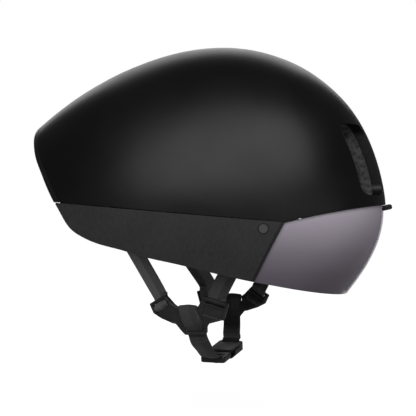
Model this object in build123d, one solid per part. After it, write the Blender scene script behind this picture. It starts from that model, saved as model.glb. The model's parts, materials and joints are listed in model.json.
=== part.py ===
from build123d import *
import math
import os

os.makedirs("parts", exist_ok=True)

# Frame: millimetres, X forward, Y to the wearer's left, Z up.
# The origin is the middle of the head opening, on the brow line.

# Overall form of the helmet
shell_length = 305.0
crown_height = 139.0
half_width = 107.0
fan_axis_back = 10.0
fan_axis_drop = 107.0
fan_root = 30.0
tuck_start = 20.0
tuck_height = 85.0
tuck_share = 0.14
taper_start = 60.0
taper_length = 120.0
taper_share = 0.18
first_fan_angle = 5.0
last_fan_angle = 160.0
fan_sections = 26
section_points = 19
front_roundness = 2.1
tail_roundness = 2.9
roundness_start = 20.0
roundness_span = 110.0
overrun = 220.0

# Middle-plane outline, from chin side to tail side:
# shares of shell_length forward and of crown_height up
profile_shares = [
    (0.279, -0.662), (0.320, -0.546), (0.365, -0.412), (0.403, -0.262), (0.427, -0.096),
    (0.423, 0.122), (0.395, 0.349), (0.334, 0.608), (0.205, 0.863),
    (0.056, 0.986), (-0.085, 1.000), (-0.215, 0.942), (-0.346, 0.831),
    (-0.466, 0.683), (-0.584, 0.489), (-0.705, 0.252), (-0.787, 0.0),
]

# Skins and foam
skin_wall = 2.2
seam_gap = 0.5
liner_inset = 2.5
running_gap = 0.3

# Seam corner where shell, ear cover and lens meet
corner_forward = 58.2
corner_drop = 11.3
brow_rise = 2.9
brow_front = 130.0
brow_middle_forward = 94.0
brow_middle_drop = 3.2
seam_rear_back = 133.0
seam_rear_rise = 4.7
heel_forward = 32.6
heel_drop = 60.3

# Cut-off tail, lower to upper: shares of shell_length back and of crown_height up
tail_cut_shares = [(0.456, 0.034), (0.482, 0.122), (0.5115, 0.230), (0.5335, 0.309),
                   (0.552, 0.400), (0.5625, 0.475), (0.559, 0.545), (0.528, 0.640)]
rim_width = 5.0
rim_depth = 9.0
rim_sill = 9.0

# Ear cover: lower edge, front to rear, shares of shell_length forward and crown_height up
cover_edge_shares = [(0.072, -0.418), (-0.035, -0.364), (-0.110, -0.326), (-0.185, -0.291),
                     (-0.255, -0.248), (-0.326, -0.209), (-0.372, -0.167), (-0.400, -0.128),
                     (-0.427, -0.055)]
cover_tip_reach = 4.4
cover_tip_drop = 1.8
foam_skirt = 6.0
boss_outer = 6.0
pin_radius = 2.5
pin_length = 12.0
# Pin places: shares of shell_length forward and crown_height up
pin_place_shares = [(0.072, -0.100), (-0.203, -0.086), (-0.328, -0.122)]

# Front intakes
intake_inner = 9.5
intake_width = 39.0
intake_bottom = 10.8
intake_height = 60.0
intake_corner = 9.0
lip_wall = 1.8
lip_depth = 9.0
intake_back = 60.0

# Visor lens
lens_inset = 2.5
lens_wall = 2.0
lens_top_gap = 0.5
lens_tuck = 1.2
lens_front_drop = 73.9
lens_front_forward = 98.7
ear_back = 34.0
ear_top_drop = 12.0
ear_bottom_drop = 25.0
ear_overlap = 1.0
magnet_forward = 41.5
magnet_drop = 16.8
lens_magnet_radius = 4.0
cap_radius = 4.2
cover_magnet_radius = 3.0
cover_magnet_length = 2.0
tab_front = 136.5
tab_back = 123.0
tab_width = 12.0
tab_height = 4.4
tab_drop = 2.3
tab_tilt = 13.0
tab_round = 1.6

# Head cavity in the liner
head_half_length = 100.0
head_half_width = 79.0
head_dome = 86.0
head_dome_centre = 18.0
channel_depth = 12.0
channel_inner = 11.0
channel_outer = 38.0
channel_bottom = 34.0
channel_front = 84.0
channel_back = 88.0
liner_back = 128.0
liner_joint_back = 30.0
nape_half_width = 52.0
nape_front = 60.0
nape_rise = 6.0
# Liner lower edge, front to rear: shares of shell_length forward and crown_height up
liner_edge_shares = [(0.460, 0.052), (0.360, 0.024), (0.197, -0.050), (0.112, -0.040),
                     (0.104, -0.175), (0.040, -0.175), (0.018, 0.020), (-0.125, 0.020),
                     (-0.170, -0.060), (-0.210, -0.172), (-0.302, -0.222), (-0.354, -0.165),
                     (-0.420, -0.022)]

# Exhaust ducts through the rear of the liner and the tail foam
inner_duct_start = 6.0
inner_duct_end = 33.0
inner_duct_bottom = 20.0
inner_duct_top = 52.0
outer_duct_start = 39.0
outer_duct_end = 61.0
outer_duct_bottom = 18.0
outer_duct_top = 36.0
duct_corner = 6.0
duct_front = 60.0

# Comfort pads
pad_gap = 0.3
pad_thickness = 6.0
forehead_pad_low = 17.0
forehead_pad_high = 40.0
forehead_pad_start = 62.0
crown_pad_half_width = 9.0
crown_pad_low = 66.0
side_pad_low = 24.0
side_pad_high = 58.0
side_pad_half_length = 26.0
side_pad_start = 40.0
rear_pad_low = 54.0
rear_pad_high = 76.0
rear_pad_start = 48.0
rear_pad_inner = 40.0

# Headband
band_inset = 6.0
band_wall = 1.5
band_low = 3.0
band_high = 13.0
band_rear = 18.0
clip_radius = 2.0
clip_angles = (26.0, 76.0)
brow_pad_thickness = 4.0
brow_pad_front = 50.0

# Rear fit system
housing_front = 89.0
housing_depth = 9.0
housing_half_width = 21.0
housing_half_height = 12.0
dial_drop = 19.0
housing_wall = 2.0
cover_plate = 2.0
gear_module = 1.0
gear_teeth = 10
gear_width = 3.0
tooth_height_share = 0.75
tooth_slim = 0.6
root_share = 1.0
rack_body = 3.6
rack_front = 91.5
rack_reach = 6.0
rack_teeth = 7
rack_lead_teeth = 1.5
pressure_angle = 20.0
arm_root_start = 34.0
arm_root_width = 4.0
arm_centre_back = 33.0
arm_radius = 62.0
arm_wall = 2.0
arm_height = 11.0
arm_end_angle = 95.0
arm_root_front = 82.0
dial_radius = 14.0
dial_length = 10.0
dial_grips = 12
grip_radius = 1.6
shaft_radius = 2.5
screw_head_radius = 3.2
screw_head = 1.5
stem_half_width = 6.0
stem_wall = 2.0
stem_back = 95.4
stem_top = 28.0
guide_half_width = 10.0
guide_low = 10.0
guide_high = 22.0
guide_front = 90.0
guide_back = 98.9
cradle_pad_thickness = 4.5
cradle_pad_start = 42.0
fit_gap = 0.1
screw_radius = 1.2
screw_length = 7.0
cradle_pad_height = 18.0

# Webbing
webbing_width = 15.5
webbing_thickness = 1.4
anchor_width = 22.0
anchor_height = 14.0
anchor_wall = 4.0
anchor_slot_height = 3.0
front_anchor = (22.4, 87.0, -26.0)
rear_anchor = (-71.0, 84.0, -26.5)

# Strap dividers: the middle of each plate, and its outline in the plate's own plane
divider_right_middle = (-25.0, -73.0, -88.0)
divider_left_middle = (-17.0, 73.0, -86.8)
divider_tilt = 9.0
divider_wall = 3.0
divider_length = 68.0
divider_height = 33.0
# Shares of divider_length along and of divider_height up
divider_shares = [
    (-0.568, 0.171), (-0.319, 0.466), (-0.140, 0.176), (0.112, 0.188), (0.193, 0.466),
    (0.500, 0.276), (0.440, -0.133), (0.250, -0.240), (0.222, -0.327), (0.219, -0.479),
    (0.194, -0.536), (-0.056, -0.536), (-0.094, -0.455), (-0.169, -0.260), (-0.380, -0.160), (-0.505, -0.060),
]
divider_round = 1.2
divider_fold_along = -13.6
divider_fold = 27.0
slot_length = 16.4
slot_height = 2.6
tri_glide_shift = 1.2
bar_width = 2.6
keeper_slot_top = 8.8
keeper_slot_bottom = 15.2
keeper_slot_along = 4.6
rib_height = 1.6
recess_depth = 0.8
recess_height = 9.0
strap_gap = 0.3
rear_strap_twist = 0.5
chin_strap_start_along = -1.1
chin_strap_start_up = 5.5
chin_strap_step = 2.4
chin_strap_free_drop = 20.0
chin_strap_lead = 7.0
chin_strap_rise = 5.0

# Chin buckle
buckle_middle = (-11.6, -1.0, -126.5)
buckle_pitch = 9.0
buckle_yaw = -6.6
socket_mouth = 7.0
socket_back = 28.0
socket_half_width = 11.0
socket_half_height = 4.0
buckle_corner = 3.0
buckle_edge = 1.0
pocket_half_height = 2.3
pocket_depth = 25.0
strap_slot_half = 8.2
socket_slot_start = 20.5
socket_slot_end = 24.0
plug_end = 28.0
plug_half_height = 2.5
plug_gap = 0.6
plug_slots = ((19.0, 15.5), (25.5, 22.0))
tongue_half_width = 2.6
tongue_reach = 12.0
prong_half_height = 1.8
arm_inner = 5.8
arm_shank = 2.6
arm_head = 3.6
arm_head_start = 1.0
arm_tip = 14.0
arm_root_back = 7.0

profile = [(forward * shell_length, up * crown_height) for forward, up in profile_shares]
profile_angles = [
    math.degrees(math.atan2(up + fan_axis_drop, forward + fan_axis_back)) for forward, up in profile
]
profile_radii = [math.hypot(up + fan_axis_drop, forward + fan_axis_back) for forward, up in profile]


def smooth_step(share):
    """Ease from 0 to 1 as the share goes from 0 to 1."""
    share = min(max(share, 0.0), 1.0)
    return share * share * (3 - 2 * share)


def profile_radius(fan_angle):
    """Distance from the fan axis to the middle-plane outline, by cubic steps between the points."""
    count = len(profile_angles)
    index = 0
    while index < count - 2 and profile_angles[index + 1] < fan_angle:
        index += 1

    def slope(place):
        low = max(place - 1, 0)
        high = min(place + 1, count - 1)
        return (profile_radii[high] - profile_radii[low]) / (profile_angles[high] - profile_angles[low])

    span = profile_angles[index + 1] - profile_angles[index]
    t = (fan_angle - profile_angles[index]) / span
    start_weight = 2 * t**3 - 3 * t**2 + 1
    end_weight = 3 * t**2 - 2 * t**3
    start_slope = (t**3 - 2 * t**2 + t) * span
    end_slope = (t**3 - t**2) * span
    return (
        start_weight * profile_radii[index]
        + end_weight * profile_radii[index + 1]
        + start_slope * slope(index)
        + end_slope * slope(index + 1)
    )


def roundness(fan_angle):
    """Exponent of the section's superellipse, boxier towards the tail."""
    share = smooth_step((fan_angle - roundness_start) / roundness_span)
    return front_roundness + (tail_roundness - front_roundness) * share


def width_share(forward, up):
    """How much narrower the form is below the ears and towards the tail."""
    tuck = max(tuck_start - up, 0.0) / tuck_height
    taper = max(-taper_start - forward, 0.0) / taper_length
    return (1 - tuck_share * tuck**2) * (1 - taper_share * taper**2)


def form_point(fan_angle, lean, inset):
    """Point of the helmet's outer form, or of the same form a little inside it."""
    power = roundness(fan_angle)
    cosine = abs(math.cos(lean))
    sine = abs(math.sin(lean))
    swell = (cosine**power + sine**power) ** (-1 / power)
    rise = (profile_radius(fan_angle) - inset) * cosine * swell
    side = math.copysign((half_width - inset) * sine * swell, lean)
    turn = math.radians(fan_angle)
    forward = -fan_axis_back + rise * math.cos(turn)
    up = -fan_axis_drop + rise * math.sin(turn)
    return Vector(forward, side * width_share(forward, up), up)


def form_section(fan_angle, inset):
    """Closed section of the form in one plane through the fan axis."""
    power = roundness(fan_angle)
    root_share = fan_root / (profile_radius(fan_angle) - inset)
    last_lean = math.atan2((1 - root_share**power) ** (1 / power), root_share)
    points = []
    for index in range(section_points):
        lean = last_lean * (2 * index / (section_points - 1) - 1)
        points.append(form_point(fan_angle, lean, inset))
    arch = Edge.make_spline(points)
    chord = Edge.make_line(points[-1], points[0])
    return Wire([arch, chord])


def form_solid(inset):
    """The whole form as one solid, inset from the outer surface."""
    sections = []
    for index in range(fan_sections):
        share = index / (fan_sections - 1)
        sections.append(form_section(first_fan_angle + share * (last_fan_angle - first_fan_angle), inset))
    return Solid.make_loft(sections)


def side_face(points):
    """Face in the middle plane with straight sides, from forward and up values."""
    return Face(Wire.make_polygon([Vector(forward, 0, up) for forward, up in points], close=True))


def side_prism(face, right, left):
    """Solid with a side-view outline, between two distances to the left."""
    return Solid.extrude(face.moved(Location((0, right, 0))), Vector(0, left - right, 0))


def block(low, high):
    """Box between two corners."""
    size = [high[axis] - low[axis] for axis in range(3)]
    return Pos(*low) * Box(*size, align=(Align.MIN, Align.MIN, Align.MIN))


def only_solid(shape):
    """The largest solid of a result, as one plain solid."""
    solids = shape.solids()
    return max(solids, key=lambda solid: solid.volume)


def mirrored(shape):
    """The same shape on the wearer's other side."""
    return mirror(shape, about=Plane.XZ)


def by_shares(shares):
    """Forward and up values from shares of the helmet's length and height."""
    return [(forward * shell_length, up * crown_height) for forward, up in shares]


def front_prism(inner, outer, bottom, top, corner, back, front):
    """Prism along the wearer's view with a rounded rectangle as its front view."""
    middle = ((inner + outer) / 2, (bottom + top) / 2)
    plane = Plane(origin=(back, middle[0], middle[1]), x_dir=(0, 1, 0), z_dir=(1, 0, 0))
    sketch = plane * RectangleRounded(abs(outer - inner), top - bottom, corner)
    return extrude(sketch, amount=front - back)


def seam_height(forward):
    """Height of the straight seam between shell and ear cover."""
    slope = (-corner_drop - seam_rear_rise) / (corner_forward + seam_rear_back)
    return seam_rear_rise + slope * (forward + seam_rear_back)


def tail_curve(forward_shift):
    """Rear cut of the helmet in side view, lower end to upper end."""
    points = [Vector(-back * shell_length + forward_shift, 0, up * crown_height)
              for back, up in tail_cut_shares]
    return Edge.make_spline(points)


def brow_curve(drop):
    """Lower edge of the shell over the lens, rear corner to front."""
    return Edge.make_three_point_arc(
        Vector(corner_forward, 0, -corner_drop - drop),
        Vector(brow_middle_forward, 0, -brow_middle_drop - drop),
        Vector(brow_front, 0, brow_rise - drop),
    )


def join_edges(edges, extra_points):
    """Closed face from curves in order, joined by straight lines through the extra points."""
    start = edges[0] @ 0
    pieces = list(edges)
    last = edges[-1] @ 1
    for point in extra_points + [start]:
        if (point - last).length > 0:
            pieces.append(Edge.make_line(last, point))
        last = point
    return Face(Wire(pieces))


def intake_prism(grow, back):
    """Front intake of the wearer's left, grown outwards all round."""
    return front_prism(
        intake_inner - grow,
        intake_inner + intake_width + grow,
        intake_bottom - grow,
        intake_bottom + intake_height + grow,
        intake_corner + grow,
        back,
        overrun,
    )


def make_shell(outer, inner):
    """Hard shell with two intakes, each with a lip that turns inwards."""
    tail = tail_curve(rim_width)
    brow = brow_curve(0)
    seam_start = Vector(corner_forward, 0, seam_height(corner_forward) + seam_gap / 2)
    rear = tail @ 0
    rear_low = Vector(rear.X, 0, seam_height(rear.X) + seam_gap / 2)
    top_rear = Vector((tail @ 1).X, 0, overrun)
    front_top = Vector(overrun, 0, overrun)
    front_low = Vector(overrun, 0, brow_rise)
    pieces = [brow, Edge.make_line(brow @ 1, front_low), Edge.make_line(front_low, front_top)]
    pieces.append(Edge.make_line(front_top, top_rear))
    pieces.append(Edge.make_line(top_rear, tail @ 1))
    pieces.append(tail)
    pieces.append(Edge.make_line(rear, rear_low))
    pieces.append(Edge.make_line(rear_low, seam_start))
    pieces.append(Edge.make_line(seam_start, brow @ 0))
    region = side_prism(Face(Wire(pieces)), -overrun, overrun)
    solid = only_solid(outer & region)
    deep = form_solid(lip_depth)
    lips = []
    skin = solid - inner
    for side in (1, -1):
        hole = intake_prism(0, 0)
        ring = intake_prism(lip_wall, 0)
        if side < 0:
            hole = mirrored(hole)
            ring = mirrored(ring)
        lips.append(((solid & ring) - deep) - hole)
        skin = skin - ring
    return only_solid(skin + lips[0] + lips[1])


def make_rim(outer):
    """Strip round the cut tail, with the exhaust window and its sill."""
    front = tail_curve(rim_width)
    rear = tail_curve(0)
    high_rear = Vector((rear @ 1).X, 0, overrun)
    high_front = Vector((front @ 1).X, 0, overrun)
    pieces = [rear, Edge.make_line(rear @ 1, high_rear), Edge.make_line(high_rear, high_front)]
    pieces.append(Edge.make_line(high_front, front @ 1))
    pieces.append(front)
    pieces.append(Edge.make_line(front @ 0, rear @ 0))
    band = outer & side_prism(Face(Wire(pieces)), -overrun, overrun)
    sill = seam_rear_rise + rim_sill
    window = form_solid(rim_depth) & block((-overrun, -overrun, sill), (overrun, overrun, overrun))
    return only_solid(band - window)


def skin_side(solid, forward, up):
    """Distance from the middle plane to the right-hand face of a form at one place in side view."""
    probe = Edge.make_line(Vector(forward, -overrun, up), Vector(forward, 0, up))
    return -(probe & solid).edges()[0].bounding_box().min.Y


def cover_pin(inner, forward, up, grow):
    """Pin on the cover's inner face, or with a growth the hole that it fits."""
    start = skin_side(inner, forward, up) - pin_length - grow
    plane = Plane(origin=(forward, -start, up), z_dir=(0, -1, 0))
    return extrude(plane * Circle(pin_radius + grow), amount=overrun) & inner


def make_ear_cover(outer, inner, magnet_face):
    """Matte cover over the wearer's right ear, with the boss for the lens magnet."""
    edge_points = by_shares(cover_edge_shares)
    heel = Vector(heel_forward, 0, -heel_drop)
    tip = Vector(-seam_rear_back - cover_tip_reach, 0, seam_rear_rise - cover_tip_drop)
    lower = Edge.make_spline([heel] + [Vector(forward, 0, up) for forward, up in edge_points[1:]] + [tip])
    top_rear = Vector(tip.X, 0, seam_height(-seam_rear_back) - seam_gap / 2)
    top_front = Vector(corner_forward, 0, seam_height(corner_forward) - seam_gap / 2)
    face = join_edges([lower], [top_rear, top_front])
    region = side_prism(face, -overrun, 0)
    skin = only_solid((outer & region) - inner)
    away = Plane(origin=(magnet_forward, -magnet_face, -magnet_drop), z_dir=(0, -1, 0))
    boss = extrude(away * Circle(boss_outer), amount=overrun) & inner
    bore = extrude(away * Circle(cap_radius + running_gap / 2), amount=overrun)
    cover = only_solid(skin + boss) - bore
    for forward, up in by_shares(pin_place_shares):
        cover = cover + cover_pin(inner, forward, up, 0)
    return only_solid(cover)


def make_cap(outer, magnet_face):
    """Round cap that fills the cover's bore and shows on its face."""
    away = Plane(origin=(magnet_forward, -magnet_face - cover_magnet_length, -magnet_drop), z_dir=(0, -1, 0))
    return only_solid(extrude(away * Circle(cap_radius), amount=overrun) & outer)


def make_disc(radius, length, near_face, forward, up):
    """Disc with its axis across the helmet, on the wearer's right."""
    plane = Plane(origin=(forward, -near_face, up), z_dir=(0, -1, 0))
    return only_solid(extrude(plane * Circle(radius), amount=length))


def lens_half_width():
    """Half width of the lens's outer face where its ears leave it."""
    return skin_side(form_solid(lens_inset), corner_forward, -(ear_top_drop + ear_bottom_drop) / 2)


def make_lens(ear_face):
    """Curved lens with two flat ears that reach back under the covers."""
    outer = form_solid(lens_inset)
    inner = form_solid(lens_inset + lens_wall)
    brow = brow_curve(lens_top_gap)
    slope = (lens_front_drop - heel_drop) / (lens_front_forward - heel_forward)
    low_front = Vector(brow_front, 0, -heel_drop - slope * (brow_front - heel_forward))
    heel = Vector(heel_forward, 0, -heel_drop)
    tucked_heel = heel + Vector(-lens_tuck, 0, lens_tuck)
    tucked_corner = Vector(corner_forward - lens_tuck, 0, -corner_drop - lens_top_gap)
    region_face = join_edges([brow], [low_front, heel, tucked_heel, tucked_corner])
    region = side_prism(region_face, -overrun, overrun)
    lens = only_solid((outer & region) - inner)
    back_slope = (corner_forward - heel_forward) / (heel_drop - corner_drop)
    ear_start = heel_forward - lens_tuck + ear_overlap
    ear_face_outline = Face(Wire.make_polygon([
        Vector(ear_back, 0, -ear_top_drop),
        Vector(ear_start + back_slope * (heel_drop - ear_top_drop), 0, -ear_top_drop),
        Vector(ear_start + back_slope * (heel_drop - ear_bottom_drop), 0, -ear_bottom_drop),
        Vector(ear_back, 0, -ear_bottom_drop),
    ]))
    for near, far in ((-ear_face, lens_wall - ear_face), (ear_face - lens_wall, ear_face)):
        lens = lens + side_prism(ear_face_outline, near, far)
    bore_plane = Plane(origin=(magnet_forward, -overrun, -magnet_drop), z_dir=(0, 1, 0))
    lens = lens - extrude(bore_plane * Circle(lens_magnet_radius + running_gap / 2), amount=2 * overrun)
    return only_solid(lens)


def head_form(inset):
    """Head-shaped solid: a dome on an upright oval column, inset from the foam's cavity."""
    length = head_half_length - inset
    width = head_half_width - inset
    dome = scale(Sphere(1), by=(length, width, head_dome - inset))
    column = extrude(Pos(0, 0, -overrun) * Ellipse(length, width), amount=overrun)
    return Pos(0, 0, head_dome_centre) * (dome + column)


def paired_ducts(back, front):
    """The four exhaust ducts, two on each side."""
    tubes = []
    places = [
        (inner_duct_start, inner_duct_end, inner_duct_bottom, inner_duct_top),
        (outer_duct_start, outer_duct_end, outer_duct_bottom, outer_duct_top),
    ]
    for start, end, bottom, top in places:
        tube = front_prism(start, end, bottom, top, duct_corner, back, front)
        tubes.append(tube)
        tubes.append(mirrored(tube))
    return tubes


def make_liner(inner):
    """Front and rear foam mouldings round the head, with crown channels, intakes, ducts and pin holes."""
    body = form_solid(liner_inset)
    edge = by_shares(liner_edge_shares)
    points = edge + [(-liner_back, edge[-1][1]), (-liner_back, overrun), (edge[0][0], overrun)]
    liner = only_solid(body & side_prism(side_face(points), -overrun, overrun))
    head = head_form(0)
    channel = head_form(-channel_depth)
    liner = liner - head
    for side in (1, -1):
        low = (-channel_back, min(side * channel_inner, side * channel_outer), channel_bottom)
        high = (channel_front, max(side * channel_inner, side * channel_outer), overrun)
        liner = liner - (channel & block(low, high))
    deep = form_solid(lip_depth + running_gap)
    for side in (1, -1):
        duct = intake_prism(0, intake_back)
        pocket = intake_prism(lip_wall + running_gap, intake_back) - deep
        if side < 0:
            duct = mirrored(duct)
            pocket = mirrored(pocket)
        liner = liner - duct - pocket
    for duct in paired_ducts(-overrun, -duct_front):
        liner = liner - duct
    nape = block((-overrun, -nape_half_width, -overrun), (-nape_front, nape_half_width, nape_rise))
    liner = liner - nape
    for forward, up in by_shares(pin_place_shares):
        hole = cover_pin(inner, forward, up, running_gap / 2)
        liner = liner - hole - mirrored(hole)
    for anchor in anchor_blocks(running_gap / 2):
        liner = liner - anchor
    front = block((-liner_joint_back, -overrun, -overrun), (overrun, overrun, overrun))
    rear = block((-overrun, -overrun, -overrun), (-liner_joint_back - running_gap, overrun, overrun))
    return only_solid(liner & front), only_solid(liner & rear)


def make_tail_foam():
    """Foam block behind the liner, up to the rim, with the four exhaust ducts."""
    body = form_solid(liner_inset)
    rear = tail_curve(rim_width + running_gap)
    low_rear = rear @ 0 - Vector(0, 0, foam_skirt)
    low = Vector(-liner_back - running_gap, 0, low_rear.Z)
    high = Vector(-liner_back - running_gap, 0, overrun)
    high_rear = Vector((rear @ 1).X, 0, overrun)
    pieces = [rear, Edge.make_line(rear @ 1, high_rear), Edge.make_line(high_rear, high)]
    pieces.append(Edge.make_line(high, low))
    pieces.append(Edge.make_line(low, low_rear))
    pieces.append(Edge.make_line(low_rear, rear @ 0))
    foam = only_solid(body & side_prism(Face(Wire(pieces)), -overrun, overrun))
    for duct in paired_ducts(-overrun, 0):
        foam = foam - duct
    return only_solid(foam)


def anchor_blocks(grow):
    """Webbing anchors without their slots, two on each side."""
    blocks = []
    for forward, left, up in (front_anchor, rear_anchor):
        half = (anchor_width / 2 + grow, anchor_wall / 2 + grow, anchor_height / 2 + grow)
        low = (forward - half[0], left - half[1], up - half[2])
        high = (forward + half[0], left + half[1], up + half[2])
        solid = block(low, high)
        blocks.append(solid)
        blocks.append(mirrored(solid))
    return blocks


def make_anchors():
    """Webbing anchors with a slot near the lower edge of each."""
    anchors = []
    for forward, left, up in (front_anchor, rear_anchor):
        half = (anchor_width / 2, anchor_wall / 2, anchor_height / 2)
        solid = block(
            (forward - half[0], left - half[1], up - half[2]),
            (forward + half[0], left + half[1], up + half[2]),
        )
        slot_low = up - half[2] + bar_width
        slot = block(
            (forward - slot_length / 2, left - anchor_wall, slot_low),
            (forward + slot_length / 2, left + anchor_wall, slot_low + anchor_slot_height),
        )
        solid = only_solid(solid - slot)
        anchors.append(solid)
        anchors.append(mirrored(solid))
    return anchors


def head_pad(low, high, thickness):
    """Part of a layer that lies against the foam inside the head cavity."""
    layer = head_form(pad_gap) - head_form(pad_gap + thickness)
    return only_solid(layer & block(low, high))


def make_pads():
    """Comfort pads by node name."""
    pads = {}
    pads["forehead_pad"] = head_pad(
        (forehead_pad_start, -overrun, forehead_pad_low), (overrun, overrun, forehead_pad_high), pad_thickness
    )
    pads["crown_pad"] = head_pad(
        (-overrun, -crown_pad_half_width, crown_pad_low),
        (overrun, crown_pad_half_width, overrun),
        pad_thickness,
    )
    right_side = head_pad(
        (-side_pad_half_length, -overrun, side_pad_low),
        (side_pad_half_length, -side_pad_start, side_pad_high),
        pad_thickness,
    )
    right_rear = head_pad(
        (-overrun, -overrun, rear_pad_low), (-rear_pad_start, -rear_pad_inner, rear_pad_high), pad_thickness
    )
    pads["side_pad_right"] = right_side
    pads["side_pad_left"] = mirrored(right_side)
    pads["rear_pad_right"] = right_rear
    pads["rear_pad_left"] = mirrored(right_rear)
    return pads


def oval_ring(outer_inset, inner_inset, low, high):
    """Upright oval ring, inset from the wall of the head cavity."""
    outside = Ellipse(head_half_length - outer_inset, head_half_width - outer_inset)
    inside = Ellipse(head_half_length - inner_inset, head_half_width - inner_inset)
    return extrude(Pos(0, 0, low) * (outside - inside), amount=high - low)


def make_headband():
    """Front half of the fit band."""
    ring = oval_ring(band_inset, band_inset + band_wall, band_low, band_high)
    return only_solid(ring & block((-band_rear, -overrun, band_low), (overrun, overrun, band_high)))


def make_brow_pad():
    """Thin pad on the inside of the headband."""
    start = band_inset + band_wall + pad_gap
    ring = oval_ring(start, start + brow_pad_thickness, band_low, band_high)
    return only_solid(ring & block((brow_pad_front, -overrun, band_low), (overrun, overrun, band_high)))


def make_headband_clips():
    """Studs from the headband to the foam."""
    gap = oval_ring(running_gap / 2, band_inset, band_low, band_high)
    clips = []
    for angle in clip_angles:
        for side in (1, -1):
            turn = math.radians(side * angle)
            height = (band_low + band_high) / 2
            along = Vector(
                math.cos(turn) * head_half_length, math.sin(turn) * head_half_width, 0
            )
            plane = Plane(origin=(0, 0, height), z_dir=along)
            clips.append(only_solid(extrude(plane * Circle(clip_radius), amount=overrun) & gap))
    return clips


def gear_tooth(half_pitch_width, tip, root):
    """Half widths of a straight-sided tooth at its tip and at its root."""
    lean = math.tan(math.radians(pressure_angle))
    half = half_pitch_width - tooth_slim / 4
    return half - lean * tip, half + lean * root


def gear_radius():
    """Pitch radius of the pinion."""
    return gear_module * gear_teeth / 2


def make_pinion():
    """Pinion with the shaft that carries the dial, on the dial axis."""
    tip = tooth_height_share * gear_module
    root = root_share * gear_module
    tip_half, root_half = gear_tooth(math.pi * gear_module / 4, tip, root)
    pitch_radius = gear_radius()
    back = -rack_front - gear_width
    plane = Plane(origin=(back, 0, -dial_drop), x_dir=(0, 1, 0), z_dir=(1, 0, 0))
    sketch = Circle(pitch_radius - root)
    for index in range(gear_teeth):
        tooth = Polygon(
            (pitch_radius - root - gear_module, -root_half),
            (pitch_radius - root, -root_half),
            (pitch_radius + tip, -tip_half),
            (pitch_radius + tip, tip_half),
            (pitch_radius - root, root_half),
            (pitch_radius - root - gear_module, root_half),
            align=None,
        )
        sketch = sketch + Rot(0, 0, 90 + index * 360 / gear_teeth) * tooth
    gear = extrude(plane * sketch, amount=gear_width)
    shaft_end = housing_front + housing_depth + running_gap + dial_length - screw_head
    shaft_plane = Plane(origin=(-shaft_end, 0, -dial_drop), z_dir=(1, 0, 0))
    shaft = extrude(shaft_plane * Circle(shaft_radius), amount=shaft_end - rack_front - gear_width / 2)
    hole = extrude(shaft_plane * Circle(screw_radius + fit_gap), amount=screw_length + running_gap)
    return only_solid(gear + shaft - hole)


def make_dial():
    """Grip wheel with scalloped edge and a bore for the shaft."""
    rear = housing_front + housing_depth + running_gap + dial_length
    plane = Plane(origin=(-rear, 0, -dial_drop), x_dir=(0, 1, 0), z_dir=(1, 0, 0))
    sketch = Circle(dial_radius)
    for index in range(dial_grips):
        turn = math.radians(index * 360 / dial_grips)
        spot = Pos(dial_radius * math.cos(turn), dial_radius * math.sin(turn))
        sketch = sketch - spot * Circle(grip_radius)
    dial = extrude(plane * sketch, amount=dial_length)
    bore = extrude(plane * Circle(shaft_radius + fit_gap), amount=dial_length)
    seat = extrude(plane * Circle(screw_head_radius + fit_gap), amount=screw_head)
    return only_solid(dial - bore - seat)


def make_dial_screw():
    """Screw that holds the dial on the shaft."""
    rear = housing_front + housing_depth + running_gap + dial_length
    plane = Plane(origin=(-rear, 0, -dial_drop), x_dir=(0, 1, 0), z_dir=(1, 0, 0))
    head = extrude(plane * Circle(screw_head_radius), amount=screw_head)
    shank = extrude(plane * Circle(screw_radius), amount=screw_head + screw_length)
    slot = plane * Rectangle(2 * screw_head_radius, screw_radius)
    return only_solid(head + shank - extrude(slot, amount=screw_head / 2))


def make_housing():
    """Rear housing of the toothed arms, open at both ends and in front."""
    back = housing_front + housing_depth
    low = -dial_drop - housing_half_height
    high = -dial_drop + housing_half_height
    pocket_back = rack_front + gear_width + housing_wall / 4
    body = block((-back, -housing_half_width, low), (-housing_front - cover_plate, housing_half_width, high))
    pocket = block((-pocket_back, -overrun, low + housing_wall), (0, overrun, high - housing_wall))
    bore_plane = Plane(origin=(-back, 0, -dial_drop), z_dir=(1, 0, 0))
    bore = extrude(bore_plane * Circle(shaft_radius + running_gap / 2), amount=housing_depth)
    return only_solid(body - pocket - bore)


def make_housing_cover():
    """Flat plate that closes the housing in front."""
    low = (-housing_front - cover_plate, -housing_half_width, -dial_drop - housing_half_height)
    high = (-housing_front, housing_half_width, -dial_drop + housing_half_height)
    return only_solid(block(low, high))


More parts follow.
